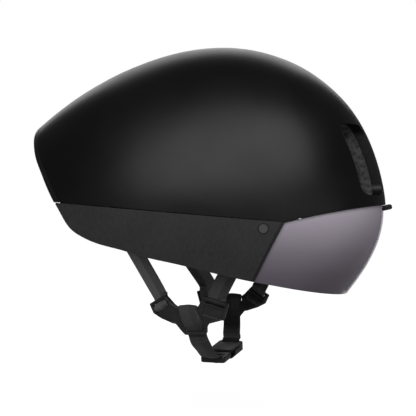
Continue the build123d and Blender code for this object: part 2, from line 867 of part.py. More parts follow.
def make_band_arm(side):
    """Toothed rack with the curved arm that holds the back of the head; side is 1 for the left."""
    tip = tooth_height_share * gear_module
    root = root_share * gear_module
    tip_half, root_half = gear_tooth(math.pi * gear_module / 4, tip, root)
    pitch = math.pi * gear_module
    pitch_line = -dial_drop + side * gear_radius()
    rack_root = pitch_line + side * root
    rack_top = rack_root + side * (rack_body - gear_module)
    back = -rack_front - gear_width
    inner_end = -side * rack_reach
    outer_end = side * (arm_root_start + arm_root_width)
    low = (back, min(inner_end, outer_end), min(rack_root, rack_top))
    high = (-rack_front, max(inner_end, outer_end), max(rack_root, rack_top))
    arm = block(low, high)
    plane = Plane(origin=(back, 0, 0), x_dir=(0, 1, 0), z_dir=(1, 0, 0))
    for index in range(rack_teeth):
        along = side * (index - rack_lead_teeth) * pitch
        tooth = Polygon(
            (along - root_half, rack_root),
            (along - tip_half, pitch_line - side * tip),
            (along + tip_half, pitch_line - side * tip),
            (along + root_half, rack_root),
            (along + root_half, rack_top),
            (along - root_half, rack_top),
            align=None,
        )
        arm = arm + extrude(plane * tooth, amount=gear_width, dir=Vector(1, 0, 0))
    strip_low = -dial_drop - arm_height / 2
    strip_high = -dial_drop + arm_height / 2
    starts = sorted((side * arm_root_start, outer_end))
    root_block = block(
        (back, starts[0], min(strip_low, rack_top)), (-arm_root_front, starts[1], max(strip_high, rack_top))
    )
    ring = Circle(arm_radius) - Circle(arm_radius - arm_wall)
    hoop = extrude(Pos(-arm_centre_back, 0, strip_low) * ring, amount=arm_height)
    tip_forward = -arm_centre_back - arm_radius * math.cos(math.radians(arm_end_angle))
    ends = sorted((side * arm_root_start, side * overrun))
    strip = hoop & block((-overrun, ends[0], strip_low), (tip_forward, ends[1], strip_high))
    return only_solid(arm + root_block + strip)


def make_cradle_pad(side):
    """Soft pad on the inside of one arm."""
    outer = arm_radius - arm_wall - running_gap
    ring = Circle(outer) - Circle(outer - cradle_pad_thickness)
    low = -dial_drop - cradle_pad_height / 2
    hoop = extrude(Pos(-arm_centre_back, 0, low) * ring, amount=cradle_pad_height)
    ends = sorted((side * cradle_pad_start, side * overrun))
    return only_solid(hoop & block((-overrun, ends[0], low), (-arm_centre_back, ends[1], overrun)))


def make_stem():
    """Upright blade on the housing that slides in the guide."""
    low = (-stem_back, -stem_half_width, -dial_drop + housing_half_height)
    high = (-stem_back + stem_wall, stem_half_width, stem_top)
    return only_solid(block(low, high))


def make_guide():
    """Guide for the blade, fixed to the back of the head cavity."""
    body = block((-guide_back, -guide_half_width, guide_low), (-guide_front, guide_half_width, guide_high))
    slot = block(
        (-stem_back - running_gap, -stem_half_width - running_gap, -overrun),
        (-stem_back + stem_wall + running_gap, stem_half_width + running_gap, overrun),
    )
    return only_solid(body - slot)


def divider_plane(side):
    """Plane of one strap divider; its first axis runs forwards on the right and back on the left."""
    middle = divider_left_middle if side > 0 else divider_right_middle
    tilt = math.radians(divider_tilt)
    return Plane(origin=middle, x_dir=(-side, 0, 0), z_dir=(0, side * math.cos(tilt), -math.sin(tilt)))


def divider_arm_plane(side):
    """Plane of the divider's tri-glide arm, folded inwards; both planes agree on the fold."""
    plane = divider_plane(side)
    fold = math.radians(divider_fold)
    along = plane.x_dir * math.cos(fold) + plane.z_dir * math.sin(fold)
    outwards = plane.z_dir * math.cos(fold) - plane.x_dir * math.sin(fold)
    middle = plane.origin + (plane.x_dir - along) * divider_fold_along
    return Plane(origin=middle, x_dir=along, z_dir=outwards)


def divider_corner(index):
    """Corner of the divider's outline in its own plane."""
    along, up = divider_shares[index]
    return Vector(along * divider_length, up * divider_height, 0)


def slot_place(first, second, inwards):
    """Middle and turn of a slot parallel to one edge of the divider and inside it.

    The tri-glide's slots sit further along their edge, where the arm is wider.
    """
    start = divider_corner(first)
    edge = divider_corner(second) - start
    turn = math.degrees(math.atan2(edge.Y, edge.X))
    across = Vector(edge.Y, -edge.X, 0).normalized()
    shift = edge.normalized() * (0 if first else tri_glide_shift)
    return start + edge * 0.5 + shift + across * inwards, turn


def turned_bar(place, length, height):
    """Rectangle at a place with its turn, as slot_place gives them."""
    middle, turn = place
    return Pos(middle.X, middle.Y) * Rot(0, 0, turn) * Rectangle(length, height)


def make_divider(side):
    """Strap divider: a tri-glide end, a ribbed end, a middle bar and a keeper bar."""
    corners = [divider_corner(index) for index in range(len(divider_shares))]
    outline = Polygon(*[(corner.X, corner.Y) for corner in corners], align=None)
    outline = offset(offset(outline, amount=-divider_round), amount=divider_round)
    slots = []
    first_slot = bar_width + slot_height / 2
    for inwards in (first_slot, first_slot + bar_width + slot_height):
        slots.append(slot_place(0, 1, inwards))
    slots.append(slot_place(2, 3, first_slot))
    slots.append(slot_place(4, 5, first_slot))
    sketch = outline
    for slot in slots:
        sketch = sketch - turned_bar(slot, slot_length, slot_height)
    keeper_height = keeper_slot_bottom - keeper_slot_top
    keeper_middle = Pos(keeper_slot_along, -(keeper_slot_top + keeper_slot_bottom) / 2)
    sketch = sketch - keeper_middle * Rectangle(slot_length, keeper_height)
    plane = divider_plane(side)
    reach = divider_wall / 2 * math.tan(math.radians(divider_fold) / 2)
    half = Rectangle(2 * divider_length, 2 * divider_length)
    body = sketch & (Pos(divider_fold_along - reach + divider_length, 0) * half)
    arm = sketch & (Pos(divider_fold_along + reach - divider_length, 0) * half)
    plate = extrude(plane * body, amount=divider_wall / 2, both=True)
    plate = plate + extrude(divider_arm_plane(side) * arm, amount=divider_wall / 2, both=True)
    rib = turned_bar(slot_place(4, 5, bar_width / 2), slot_length + bar_width, bar_width)
    plate = plate + extrude(plane * rib, amount=divider_wall / 2 + rib_height)
    recess_place = slot_place(4, 5, first_slot + slot_height + recess_height / 2)
    recess = turned_bar(recess_place, slot_length, recess_height)
    cut = extrude(plane.offset(divider_wall / 2 - recess_depth) * recess, amount=recess_depth + rib_height)
    return only_solid(plate - cut)


def webbing(stations):
    """Flat webbing through stations, each a middle, a width direction and a face direction."""
    sections = []
    for middle, across, facing in stations:
        half_across = Vector(*across).normalized() * (webbing_width / 2)
        half_facing = Vector(*facing).normalized() * (webbing_thickness / 2)
        centre = Vector(*middle)
        corners = [
            centre - half_across - half_facing,
            centre + half_across - half_facing,
            centre + half_across + half_facing,
            centre - half_across + half_facing,
        ]
        sections.append(Wire.make_polygon(corners, close=True))
    return only_solid(Solid.make_loft(sections, ruled=True))


def on_divider(side, along, up, out):
    """Point given in the plane of one divider, or of its folded arm."""
    plane = divider_arm_plane(side) if along < divider_fold_along else divider_plane(side)
    return plane.from_local_coords(Vector(along, up, out))


def buckle_place():
    """Place of the chin buckle; its length runs across the helmet."""
    return Location(buckle_middle, (buckle_pitch, 0, buckle_yaw))


def on_buckle(across, along, up):
    """Point given in the buckle's own frame."""
    return (buckle_place() * Pos(across, along, up)).position


def buckle_block(start, end, half_height):
    """Block of the buckle's width between two places along it, with rounded corners and rims."""
    sketch = Pos(0, (start + end) / 2) * RectangleRounded(2 * socket_half_width, end - start, buckle_corner)
    body = extrude(sketch, amount=half_height, both=True)
    rims = body.edges().group_by(Axis.Z)
    return fillet(rims[0] + rims[-1], buckle_edge)


def make_socket():
    """Socket of the chin buckle: two plates joined by a solid end with a webbing slot."""
    body = buckle_block(-socket_mouth, socket_back, socket_half_height)
    pocket_middle = pocket_depth / 2 - socket_mouth
    pocket = Pos(0, pocket_middle, 0) * Box(overrun, pocket_depth, 2 * pocket_half_height)
    slot_middle = (socket_slot_start + socket_slot_end) / 2
    slot = Pos(0, slot_middle, 0) * Box(2 * strap_slot_half, socket_slot_end - socket_slot_start, overrun)
    return only_solid(buckle_place() * (body - pocket - slot))


def make_plug():
    """Plug of the chin buckle: a two-slot ladder frame with a guide tongue."""
    frame = buckle_block(-plug_end, -socket_mouth - plug_gap, plug_half_height)
    for far, near in plug_slots:
        slot = Pos(0, -(far + near) / 2, 0) * Box(2 * strap_slot_half, far - near, overrun)
        frame = frame - slot
    tongue_start = -socket_mouth - plug_gap
    tongue_middle = (tongue_reach + tongue_start) / 2
    tongue = Pos(0, tongue_middle, 0) * Box(
        2 * tongue_half_width, tongue_reach - tongue_start + plug_gap, 2 * prong_half_height
    )
    return only_solid(buckle_place() * (frame + tongue))


def make_release_arm(side):
    """Springy side arm of the plug, with the head that the fingers press."""
    inner = side * arm_inner
    outer = side * (arm_inner + arm_shank)
    head = side * (arm_inner + arm_shank + arm_head)
    shank = block(
        (min(inner, outer), -arm_root_back + plug_gap / 2, -prong_half_height),
        (max(inner, outer), arm_tip, prong_half_height),
    )
    button = block(
        (min(outer, head), arm_head_start, -prong_half_height), (max(outer, head), arm_tip, prong_half_height)
    )
    return only_solid(buckle_place() * (shank + button))


def strap_from_anchor(side, anchor, first, second, twist):
    """Webbing from an anchor in the liner to the inner face of the divider's arm."""
    forward, left, up = anchor
    middle, turn = slot_place(first, second, bar_width + slot_height / 2)
    radians = math.radians(turn)
    plane = divider_arm_plane(side) if middle.X < divider_fold_along else divider_plane(side)
    across_local = Vector(math.cos(radians), math.sin(radians), 0)
    across = plane.from_local_coords(across_local) - plane.origin
    facing = plane.z_dir
    down = Vector(math.sin(radians), -math.cos(radians), 0)
    inside = -(divider_wall / 2 + strap_gap + webbing_thickness / 2)
    near = plane.from_local_coords(middle - down * (2 * slot_height) + Vector(0, 0, inside))
    end = plane.from_local_coords(middle + down * slot_height + Vector(0, 0, inside))
    top = Vector(forward, side * left, up - anchor_height / 2 - strap_gap)
    top_across = Vector(1, side * twist, 0)
    top_facing = Vector(-side * twist, 1, 0) * side
    if top_across.dot(across) < 0:
        across = -across
    return webbing([
        (top, top_across, top_facing),
        (near, across, facing),
        (end, across, facing),
    ])


def make_chin_strap_right():
    """Webbing down the divider's outer face, under its keeper bar and on to the plug."""
    plane = divider_plane(-1)
    outside = divider_wall / 2 + strap_gap + webbing_thickness / 2
    facing = plane.z_dir
    across = plane.x_dir
    slot_middle = -(keeper_slot_top + keeper_slot_bottom) / 2
    start = on_divider(-1, chin_strap_start_along, chin_strap_start_up, outside)
    above = on_divider(-1, keeper_slot_along, slot_middle + chin_strap_step, outside)
    below = on_divider(-1, keeper_slot_along, slot_middle - chin_strap_step, -outside)
    free = on_divider(-1, keeper_slot_along, -chin_strap_free_drop, -outside)
    rest = on_buckle(0, -plug_end + bar_width, plug_half_height + strap_gap + webbing_thickness / 2)
    far = on_buckle(0, -plug_end - chin_strap_lead, plug_half_height + chin_strap_rise)
    buckle_across = on_buckle(1, 0, 0) - on_buckle(0, 0, 0)
    buckle_up = on_buckle(0, 0, 1) - on_buckle(0, 0, 0)
    return webbing([
        (start, across, facing),
        (above, across, facing),
        (below, across, facing),
        (free, across, facing),
        (far, buckle_across, buckle_up + facing),
        (rest, buckle_across, buckle_up),
    ])


def make_chin_strap_left():
    """Webbing down the inner face of the far divider and on to the socket."""
    plane = divider_plane(1)
    inside = -(divider_wall / 2 + strap_gap + webbing_thickness / 2)
    start = on_divider(1, 0, chin_strap_start_up, inside)
    below = on_divider(1, 0, -chin_strap_free_drop, inside)
    rest = on_buckle(0, socket_back - bar_width, socket_half_height + strap_gap + webbing_thickness / 2)
    far = on_buckle(0, socket_back + chin_strap_lead, socket_half_height + chin_strap_rise)
    buckle_across = on_buckle(-1, 0, 0) - on_buckle(0, 0, 0)
    buckle_up = on_buckle(0, 0, 1) - on_buckle(0, 0, 0)
    return webbing([
        (start, plane.x_dir, plane.z_dir),
        (below, plane.x_dir, plane.z_dir),
        (far, buckle_across, buckle_up + plane.z_dir),
        (rest, buckle_across, buckle_up),
    ])


def make_pull_tab():
    """Small tab on the lens at the middle of the brow."""
    length = tab_front - tab_back
    bar = Box(length, tab_width, tab_height)
    bar = fillet(bar.edges(), tab_round)
    middle = Pos(tab_front - length / 2, 0, -tab_drop + tab_height / 2) * Rot(0, -tab_tilt, 0)
    return only_solid((middle * bar) - form_solid(lens_inset))


def write_nodes(nodes):
    """One file per node."""
    for name, shape in nodes.items():
        if isinstance(shape, list):
            shape = Compound(children=shape)
        export_step(shape, f"parts/{name}.step")


def build():
    """Make every node of the helmet."""
    outer = form_solid(0)
    inner = form_solid(skin_wall)
    ear_face = lens_half_width()
    magnet_face = ear_face + running_gap
    cover = make_ear_cover(outer, inner, magnet_face)
    cap = make_cap(outer, magnet_face)
    cover_magnet = make_disc(
        cover_magnet_radius, cover_magnet_length, magnet_face, magnet_forward, -magnet_drop
    )
    lens_magnet = make_disc(lens_magnet_radius, lens_wall, ear_face - lens_wall, magnet_forward, -magnet_drop)
    liner_front, liner_rear = make_liner(inner)
    nodes = {
        "outer_shell": make_shell(outer, inner),
        "tail_rim": make_rim(outer),
        "ear_cover_right": cover,
        "ear_cover_left": mirrored(cover),
        "magnet_caps": [cap, mirrored(cap)],
        "cover_magnets": [cover_magnet, mirrored(cover_magnet)],
        "visor_lens": make_lens(ear_face),
        "lens_magnets": [lens_magnet, mirrored(lens_magnet)],
        "visor_tab": make_pull_tab(),
        "liner_front": liner_front,
        "liner_rear": liner_rear,
        "tail_foam": make_tail_foam(),
        "headband": make_headband(),
        "brow_pad": make_brow_pad(),
        "headband_clips": make_headband_clips(),
        "stem_guide": make_guide(),
        "cradle_stem": make_stem(),
        "dial_housing": make_housing(),
        "housing_cover": make_housing_cover(),
        "fit_dial": make_dial(),
        "dial_pinion": make_pinion(),
        "dial_screw": make_dial_screw(),
        "band_right": make_band_arm(-1),
        "band_left": make_band_arm(1),
        "cradle_pad_right": make_cradle_pad(-1),
        "cradle_pad_left": make_cradle_pad(1),
        "strap_anchors": make_anchors(),
        "divider_right": make_divider(-1),
        "divider_left": make_divider(1),
        "rear_strap_right": strap_from_anchor(-1, rear_anchor, 0, 1, rear_strap_twist),
        "front_strap_right": strap_from_anchor(-1, front_anchor, 4, 5, 0),
        "rear_strap_left": strap_from_anchor(1, rear_anchor, 4, 5, rear_strap_twist),
        "front_strap_left": strap_from_anchor(1, front_anchor, 0, 1, 0),
        "chin_strap_right": make_chin_strap_right(),
        "chin_strap_left": make_chin_strap_left(),
        "buckle_socket": make_socket(),
        "buckle_plug": make_plug(),
        "release_arm_front": make_release_arm(1),
        "release_arm_rear": make_release_arm(-1),
    }
    nodes.update(make_pads())
    return nodes


write_nodes(build())
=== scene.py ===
import json
import math

import bmesh
import bpy
from mathutils import Matrix, Vector


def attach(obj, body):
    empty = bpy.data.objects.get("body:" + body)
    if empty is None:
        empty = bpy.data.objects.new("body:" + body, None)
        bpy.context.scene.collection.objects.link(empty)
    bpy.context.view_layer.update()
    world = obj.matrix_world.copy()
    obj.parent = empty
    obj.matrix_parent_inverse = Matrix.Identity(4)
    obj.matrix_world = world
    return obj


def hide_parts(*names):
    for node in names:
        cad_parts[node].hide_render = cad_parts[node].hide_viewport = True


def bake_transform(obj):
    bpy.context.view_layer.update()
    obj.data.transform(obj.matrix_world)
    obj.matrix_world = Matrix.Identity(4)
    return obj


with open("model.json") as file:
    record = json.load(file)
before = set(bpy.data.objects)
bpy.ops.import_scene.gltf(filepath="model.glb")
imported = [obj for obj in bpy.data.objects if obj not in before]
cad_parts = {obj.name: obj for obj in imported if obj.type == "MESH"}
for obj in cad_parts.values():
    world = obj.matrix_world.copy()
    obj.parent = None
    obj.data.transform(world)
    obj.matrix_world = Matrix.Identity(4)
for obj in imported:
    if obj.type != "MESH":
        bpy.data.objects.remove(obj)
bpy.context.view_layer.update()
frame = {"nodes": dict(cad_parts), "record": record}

nodes = frame["nodes"]
mm = 0.001

# Camera: calibrated on the photograph
camera_azimuth = math.radians(12.0)
camera_distance = 1300.0
camera_target = (-24.6, 0.0, 0.0)
camera_lens = 127.8
camera_sensor = 36.0

# Floor: its depth below the origin, half its side, how brightly it glows and how far out its shadow may show.
# The last value is the light of the surroundings
floor_drop = 192.0
floor_half = 6000.0
floor_glow = 0.85
shadow_reach = 900.0
world_light = 0.07

# Edge between ear cover and lens, as in the solids: forward and up; and a band of painted shade on the cover
# along it
lens_corner = (58.2, -11.3)
lens_heel = (32.6, -60.3)
cover_painted_shade_band = 1.6
cover_painted_shade_blur = 0.8
cover_painted_shade_depth = 0.45

# Lean of the ear covers' woven lines
cover_thread_lean = math.radians(8.0)

# Lens magnet's cap, as in the solids, and the groove round it, darkened with painted shade
magnet_place = (41.5, -16.8)
cap_face = 3.5
cap_groove = 0.4
cap_groove_shade = 0.45

# Lens: heights between which its colour goes from dark below to light above, and how far that change wanders
lens_fade = (-66.0, 4.0)
lens_wander = 6.0

# Lens: how opaque it is seen square on and along its edge, and where it turns from one to the other
lens_opacity = (0.97, 0.45)
lens_turn = (0.70, 0.93)

# Foam beads, and the share of a bead that its seam takes
bead_size = 3.2
bead_seam = 0.12

# Sides of the helmet; the photograph shows the right one
sides = ((-1, "right"), (1, "left"))

# Edge softening of hard mouldings
bevel_radius = 0.45
buckle_bevel = 0.9
bevel_samples = 4

# Middle band of a noise, over which a finish varies
noise_low = 0.3
noise_high = 0.7

# Moulded plastics: darkest and lightest colour, roughness, grain, depth of the grain and edge softening
plastics = {
    "band_plastic": ((0.012, 0.012, 0.012), (0.019, 0.019, 0.019), 0.45, 0.35, 0.03, bevel_radius),
    "buckle_plastic": ((0.020, 0.020, 0.0205), (0.031, 0.031, 0.0315), 0.33, 0.35, 0.03, buckle_bevel),
    # The lips' plastic is lighter than the plates, as a painted highlight along the dividers' edges
    "edge_plastic": ((0.030, 0.030, 0.031), (0.050, 0.050, 0.051), 0.3, 0.35, 0.03, bevel_radius),
    "dial_rubber": ((0.011, 0.011, 0.011), (0.017, 0.017, 0.017), 0.7, 0.5, 0.05, bevel_radius),
    "thread": ((0.14, 0.14, 0.14), (0.22, 0.22, 0.22), 0.7, 0.35, 0.03, bevel_radius),
}

# Metals: colour and roughness
metals = {
    "magnet_nickel": ((0.62, 0.60, 0.57), 0.25),
    "screw_steel": ((0.5, 0.5, 0.5), 0.35),
}

# Webbing: how light its lightest ribs are. The rear straps' copy is painted lighter, as painted light where
# their place gets little lamp light, and the chin straps' copy is painted darker, as painted shade
webbing_lit_and_shaded_tones = {"webbing_rear_painted_light": 0.340, "webbing": 0.170, "webbing_chin_painted_shade": 0.105}

# Webbing: its cut, with a crease along it and thinner edges
webbing_width = 15.5
webbing_thickness = 1.4
webbing_crease = 0.8
crease_place = 0.1
edge_thinning = 0.35
edge_power = 8

# Webbing: its ribs and weft, and how much painted shade lies past the crease, standing in for the shade on
# the fold's far half
rib_pitch = 1.1
weft_pitch = 0.8
fold_painted_shade = 0.22
crease_blur = 0.4

# Webbing: points across it, steps along it, and the straight run into a divider
webbing_across = 12
webbing_step = 1.2
least_steps = 4
lead_in = 7.0

# Side straps: where they leave the liner, and how far each rear strap turns on the way
rear_anchor = (-71.0, 84.0, -32.5)
front_anchor = (22.4, 87.0, -32.0)
rear_twists = {-1: 0.25, 1: -0.4}

# Stitch rows, and the unit ball that each stitch is stretched from
stitch_length = 1.5
stitch_pitch = 2.3
stitch_width = 0.7
stitch_inset = 1.1
stitch_lift = 0.11
ball_radius = 0.5
ball_segments = 8
ball_rings = 6

# Strap dividers, as in the solids
divider_middles = {-1: (-25.0, -73.0, -88.0), 1: (-17.0, 73.0, -86.8)}
divider_tilt = math.radians(9.0)
divider_wall = 3.0
divider_fold_along = -13.6
divider_fold = math.radians(27.0)
divider_length = 68.0
divider_height = 33.0
divider_shares = [
    (-0.568, 0.171), (-0.319, 0.466), (-0.140, 0.176), (0.112, 0.188), (0.193, 0.466),
    (0.500, 0.276), (0.440, -0.133), (0.250, -0.240), (0.222, -0.327), (0.219, -0.479),
    (0.194, -0.536), (-0.056, -0.536), (-0.094, -0.455), (-0.169, -0.260), (-0.380, -0.160), (-0.505, -0.060),
]
lip_runs = [[2, 1, 0, 15, 14, 13], [3, 4, 5, 6, 7]]
lip_inset = 1.0
lip_radius = 0.75
lip_steps = 6
lip_roundness = 3
sharpest_corner = 0.5
tri_glide_edge = ((-0.568, 0.171), (-0.319, 0.466))
rib_edge = ((0.193, 0.466), (0.500, 0.276))
top_bar_edge = ((-0.140, 0.176), (0.112, 0.188))
bar_width = 2.6
slot_height = 2.6
tri_glide_shift = 1.2
keeper_along = 4.6
keeper_middle = -12.0
keeper_half = 3.2
keeper_end_inset = 0.1
slot_length = 16.4
face_gap = 0.25
face_offset = divider_wall / 2 + webbing_thickness / 2 + face_gap

# Chin buckle, as in the solids
buckle_middle = (-11.6, -1.0, -126.5)
buckle_pitch = math.radians(9.0)
buckle_yaw = math.radians(-6.6)

# Chin straps over a divider's top bar: place along it and lean, depths of the start and the end, and lift
loop_places = {-1: (-1.1, 0.4), 1: (-0.3, 0.0)}
loop_start = 12.0
loop_depth = 3.5
loop_lift = 0.4

# Near chin strap: its lean, its steps past the keeper bar, as along, up and out from the bar's middle, and
# its places on the plug, as across, along and up in the buckle's own frame
chin_lean = 0.25
keeper_sink = 1.5
keeper_steps = (
    (-1.8, 5.0, face_offset),
    (0.0, 0.0, 0.0),
    (0.9, -5.0, -face_offset),
    (2.6, -12.5, -face_offset - keeper_sink),
)
plug_places = (
    (0.2, -44.0, 11.0), (0.0, -34.0, 4.4), (0.0, -27.0, 3.6),
    (0.0, -23.7, 0.0), (0.0, -20.5, -3.5), (0.0, -17.4, -0.8),
)

# Far chin strap: how far it lies on the divider's face, and its places on the socket. After each place come
# the divider's share of the width direction, and the shares of above, outwards and lengthways in the face's
far_face_end = -10.0
socket_places = (
    ((-10.4, 62.0, 9.5), 0.6, (1, -1, 0)),
    ((-5.8, 46.0, 6.4), 0.3, (1, -0.4, 0)),
    ((-1.6, 34.0, 5.4), 0, (1, 0, 0)),
    ((-0.3, 26.5, 5.1), 0, (1, 0, 0)),
    ((0.0, 22.2, 0.0), 0, (1, 0, 0)),
    ((0.0, 26.0, -5.2), 0, (0.2, 0, 1)),
    ((0.0, 33.0, -3.0), 0, (-1, 0, 0)),
)

# Cushions: the cloth simulation, how far a pad swells on its face and on its rest, and the head's middle
pad_voxel = 2.2
pad_shrink = 0.9
pad_pressure = 4.0
pad_quality = 5
pad_frames = 20
pad_swell = 1.3
pad_rest_swell = 0.2
outer_face = 0.5
head_middle = (0.0, 0.0, 20.0)

# Sewn channels of the cushions
channel_half_width = 1.8
channel_sink = 1.3

# Cushions on the middle plane: direction and places of the channels, and swell
middle_pads = {
    "forehead": ((0.0, 1.0, 0.0), (-48.0, -16.0, 16.0, 48.0), pad_swell),
    "crown": ((1.0, 0.0, 0.0), (-54.0, -18.0, 18.0, 54.0), pad_swell),
    "brow": ((0.0, 1.0, 0.0), (-40.0, 0.0, 40.0), 0.8),
}

# Cushions in pairs: direction and place of the left one's channel; the cradle's own middle and swell
side_channel = ((1.0, 0.0, 0.0), 0.0)
rear_channel = ((0.6, -0.8, 0.0), -88.0)
cradle_channel = ((0.0, 1.0, 0.0), 51.0)
cradle_middle = (-33.0, 0.0, -19.0)
cradle_swell = 0.9

# Lamps: place, target, width, height, power and roll in degrees
lamps = {
    "key": ((230, -1200, 820), (0, 0, 0), 2050, 720, 10.6, 16),
    "fill": ((1000, -950, 110), (20, 0, -20), 1500, 380, 0.8, 0),
    "back": ((-400, 1300, 1000), (-20, 0, 60), 1700, 1300, 9, 0),
}


class Paint:
    """A material under construction, with short calls for its nodes."""

    def __init__(self, name):
        self.material = bpy.data.materials.new(name)
        self.material.use_nodes = True
        self.tree = self.material.node_tree
        self.shader = self.tree.nodes["Principled BSDF"]
        self.output = self.tree.nodes["Material Output"]
        coordinates = self.tree.nodes.new("ShaderNodeTexCoord")
        self.place = coordinates.outputs["Object"]
        self.uv = coordinates.outputs["UV"]

    def link(self, start, end):
        """Connect an output to an input."""
        self.tree.links.new(start, end)

    def stretched(self, scale, turn=(0, 0, 0)):
        """Coordinates multiplied by a scale per axis, after a turn."""
        node = self.tree.nodes.new("ShaderNodeMapping")
        node.inputs["Scale"].default_value = scale
        node.inputs["Rotation"].default_value = turn
        self.link(self.place, node.inputs["Vector"])
        return node.outputs["Vector"]

    def noise(self, size, detail, source=None):
        """Noise with features of about a size in millimetres, from 0 to 1."""
        node = self.tree.nodes.new("ShaderNodeTexNoise")
        node.inputs["Scale"].default_value = 1 / (size * mm)
        node.inputs["Detail"].default_value = detail
        self.link(source or self.place, node.inputs["Vector"])
        return node.outputs["Fac"]

    def cells(self, size, feature="F1"):
        """Cell pattern with cells of about a size in millimetres."""
        node = self.tree.nodes.new("ShaderNodeTexVoronoi")
        node.feature = feature
        node.inputs["Scale"].default_value = 1 / (size * mm)
        self.link(self.place, node.inputs["Vector"])
        return node.outputs["Distance"]

    def math(self, operation, first, second=0.0):
        """One arithmetic step on values or outputs."""
        node = self.tree.nodes.new("ShaderNodeMath")
        node.operation = operation
        for index, value in enumerate((first, second)):
            if isinstance(value, (int, float)):
                node.inputs[index].default_value = value
            else:
                self.link(value, node.inputs[index])
        return node.outputs[0]

    def mixed(self, first, first_share, second, second_share):
        """Sum of two outputs, each times its share."""
        first_part = self.math("MULTIPLY", first, first_share)
        second_part = self.math("MULTIPLY", second, second_share)
        return self.math("ADD", first_part, second_part)

    def diagonal(self, first, second):
        """Distance made of two parts square to each other."""
        squares = self.math("POWER", first, 2), self.math("POWER", second, 2)
        return self.math("SQRT", self.math("ADD", *squares))

    def split(self, source=None):
        """The three parts of a coordinate."""
        node = self.tree.nodes.new("ShaderNodeSeparateXYZ")
        self.link(source or self.place, node.inputs[0])
        return node.outputs

    def graded(self, source, low, high, low_value, high_value, smooth=True):
        """Value that goes from one level to another as the source goes from low to high."""
        node = self.tree.nodes.new("ShaderNodeMapRange")
        if smooth:
            node.interpolation_type = "SMOOTHSTEP"
        node.inputs["From Min"].default_value = low
        node.inputs["From Max"].default_value = high
        node.inputs["To Min"].default_value = low_value
        node.inputs["To Max"].default_value = high_value
        self.link(source, node.inputs["Value"])
        return node.outputs[0]

    def varied(self, source, low_value, high_value):
        """Value that varies with the middle band of a noise."""
        return self.graded(source, noise_low, noise_high, low_value, high_value)

    def ramp(self, source, stops):
        """Colour from a value, by stops of place and colour."""
        node = self.tree.nodes.new("ShaderNodeValToRGB")
        ramp = node.color_ramp
        while len(ramp.elements) < len(stops):
            ramp.elements.new(0.5)
        for element, (place, colour) in zip(ramp.elements, stops):
            element.position = place
            element.color = (*colour, 1)
        self.link(source, node.inputs["Fac"])
        return node.outputs["Color"]

    def shades(self, source, dark, light):
        """Colour that varies with the middle band of a noise."""
        return self.ramp(source, [(noise_low, dark), (noise_high, light)])

    def edge_on(self):
        """Zero where the surface faces the eye, one where it is seen along its edge."""
        node = self.tree.nodes.new("ShaderNodeLayerWeight")
        node.inputs["Blend"].default_value = 0.5
        return node.outputs["Facing"]

    def bumped(self, layers, round_edges=True, edge=bevel_radius):
        """Normal with rounded edges and a stack of bump layers."""
        normal = None
        if round_edges:
            bevel = self.tree.nodes.new("ShaderNodeBevel")
            bevel.samples = bevel_samples
            bevel.inputs["Radius"].default_value = edge * mm
            normal = bevel.outputs["Normal"]
        for height, depth, strength in layers:
            node = self.tree.nodes.new("ShaderNodeBump")
            node.inputs["Distance"].default_value = depth * mm
            node.inputs["Strength"].default_value = strength
            self.link(height, node.inputs["Height"])
            if normal:
                self.link(normal, node.inputs["Normal"])
            normal = node.outputs["Normal"]
        if normal:
            self.link(normal, self.shader.inputs["Normal"])

    def set(self, **values):
        """Constant values on the shader's own sockets, and outputs linked to them."""
        for key, value in values.items():
            socket = self.shader.inputs[key.replace("_", " ")]
            if isinstance(value, bpy.types.NodeSocket):
                self.link(value, socket)
            elif isinstance(value, tuple) and len(value) == 3:
                socket.default_value = (*value, 1)
            else:
                socket.default_value = value


def bump(height, depth, strength):
    """One layer of bumps: the output with their height, their depth in millimetres and their strength."""
    return height, depth, strength


def shell_paint():
    """Satin black paint with a faint orange peel and uneven gloss."""
    paint = Paint("shell_black")
    patch = paint.noise(size=45.0, detail=3)
    fine = paint.noise(size=1.3, detail=1)
    paint.set(
        Base_Color=paint.shades(patch, (0.0040, 0.0040, 0.0041), (0.0056, 0.0056, 0.0058)),
        Roughness=paint.varied(patch, 0.35, 0.40),
        Specular_IOR_Level=0.40,
        Coat_Weight=0.05,
        Coat_Roughness=0.22,
    )
    paint.bumped([bump(fine, depth=0.02, strength=0.12)])
    return paint.material


def rim_paint():
    """Black moulding round the cut tail, a little lighter and duller than the shell."""
    paint = Paint("rim_black")
    patch = paint.noise(size=20.0, detail=3)
    fine = paint.noise(size=0.6, detail=1)
    paint.set(
        Base_Color=paint.shades(patch, (0.0085, 0.0085, 0.0086), (0.0125, 0.0125, 0.0128)),
        Roughness=paint.varied(patch, 0.38, 0.46),
    )
    paint.bumped([bump(fine, depth=0.02, strength=0.2)])
    return paint.material


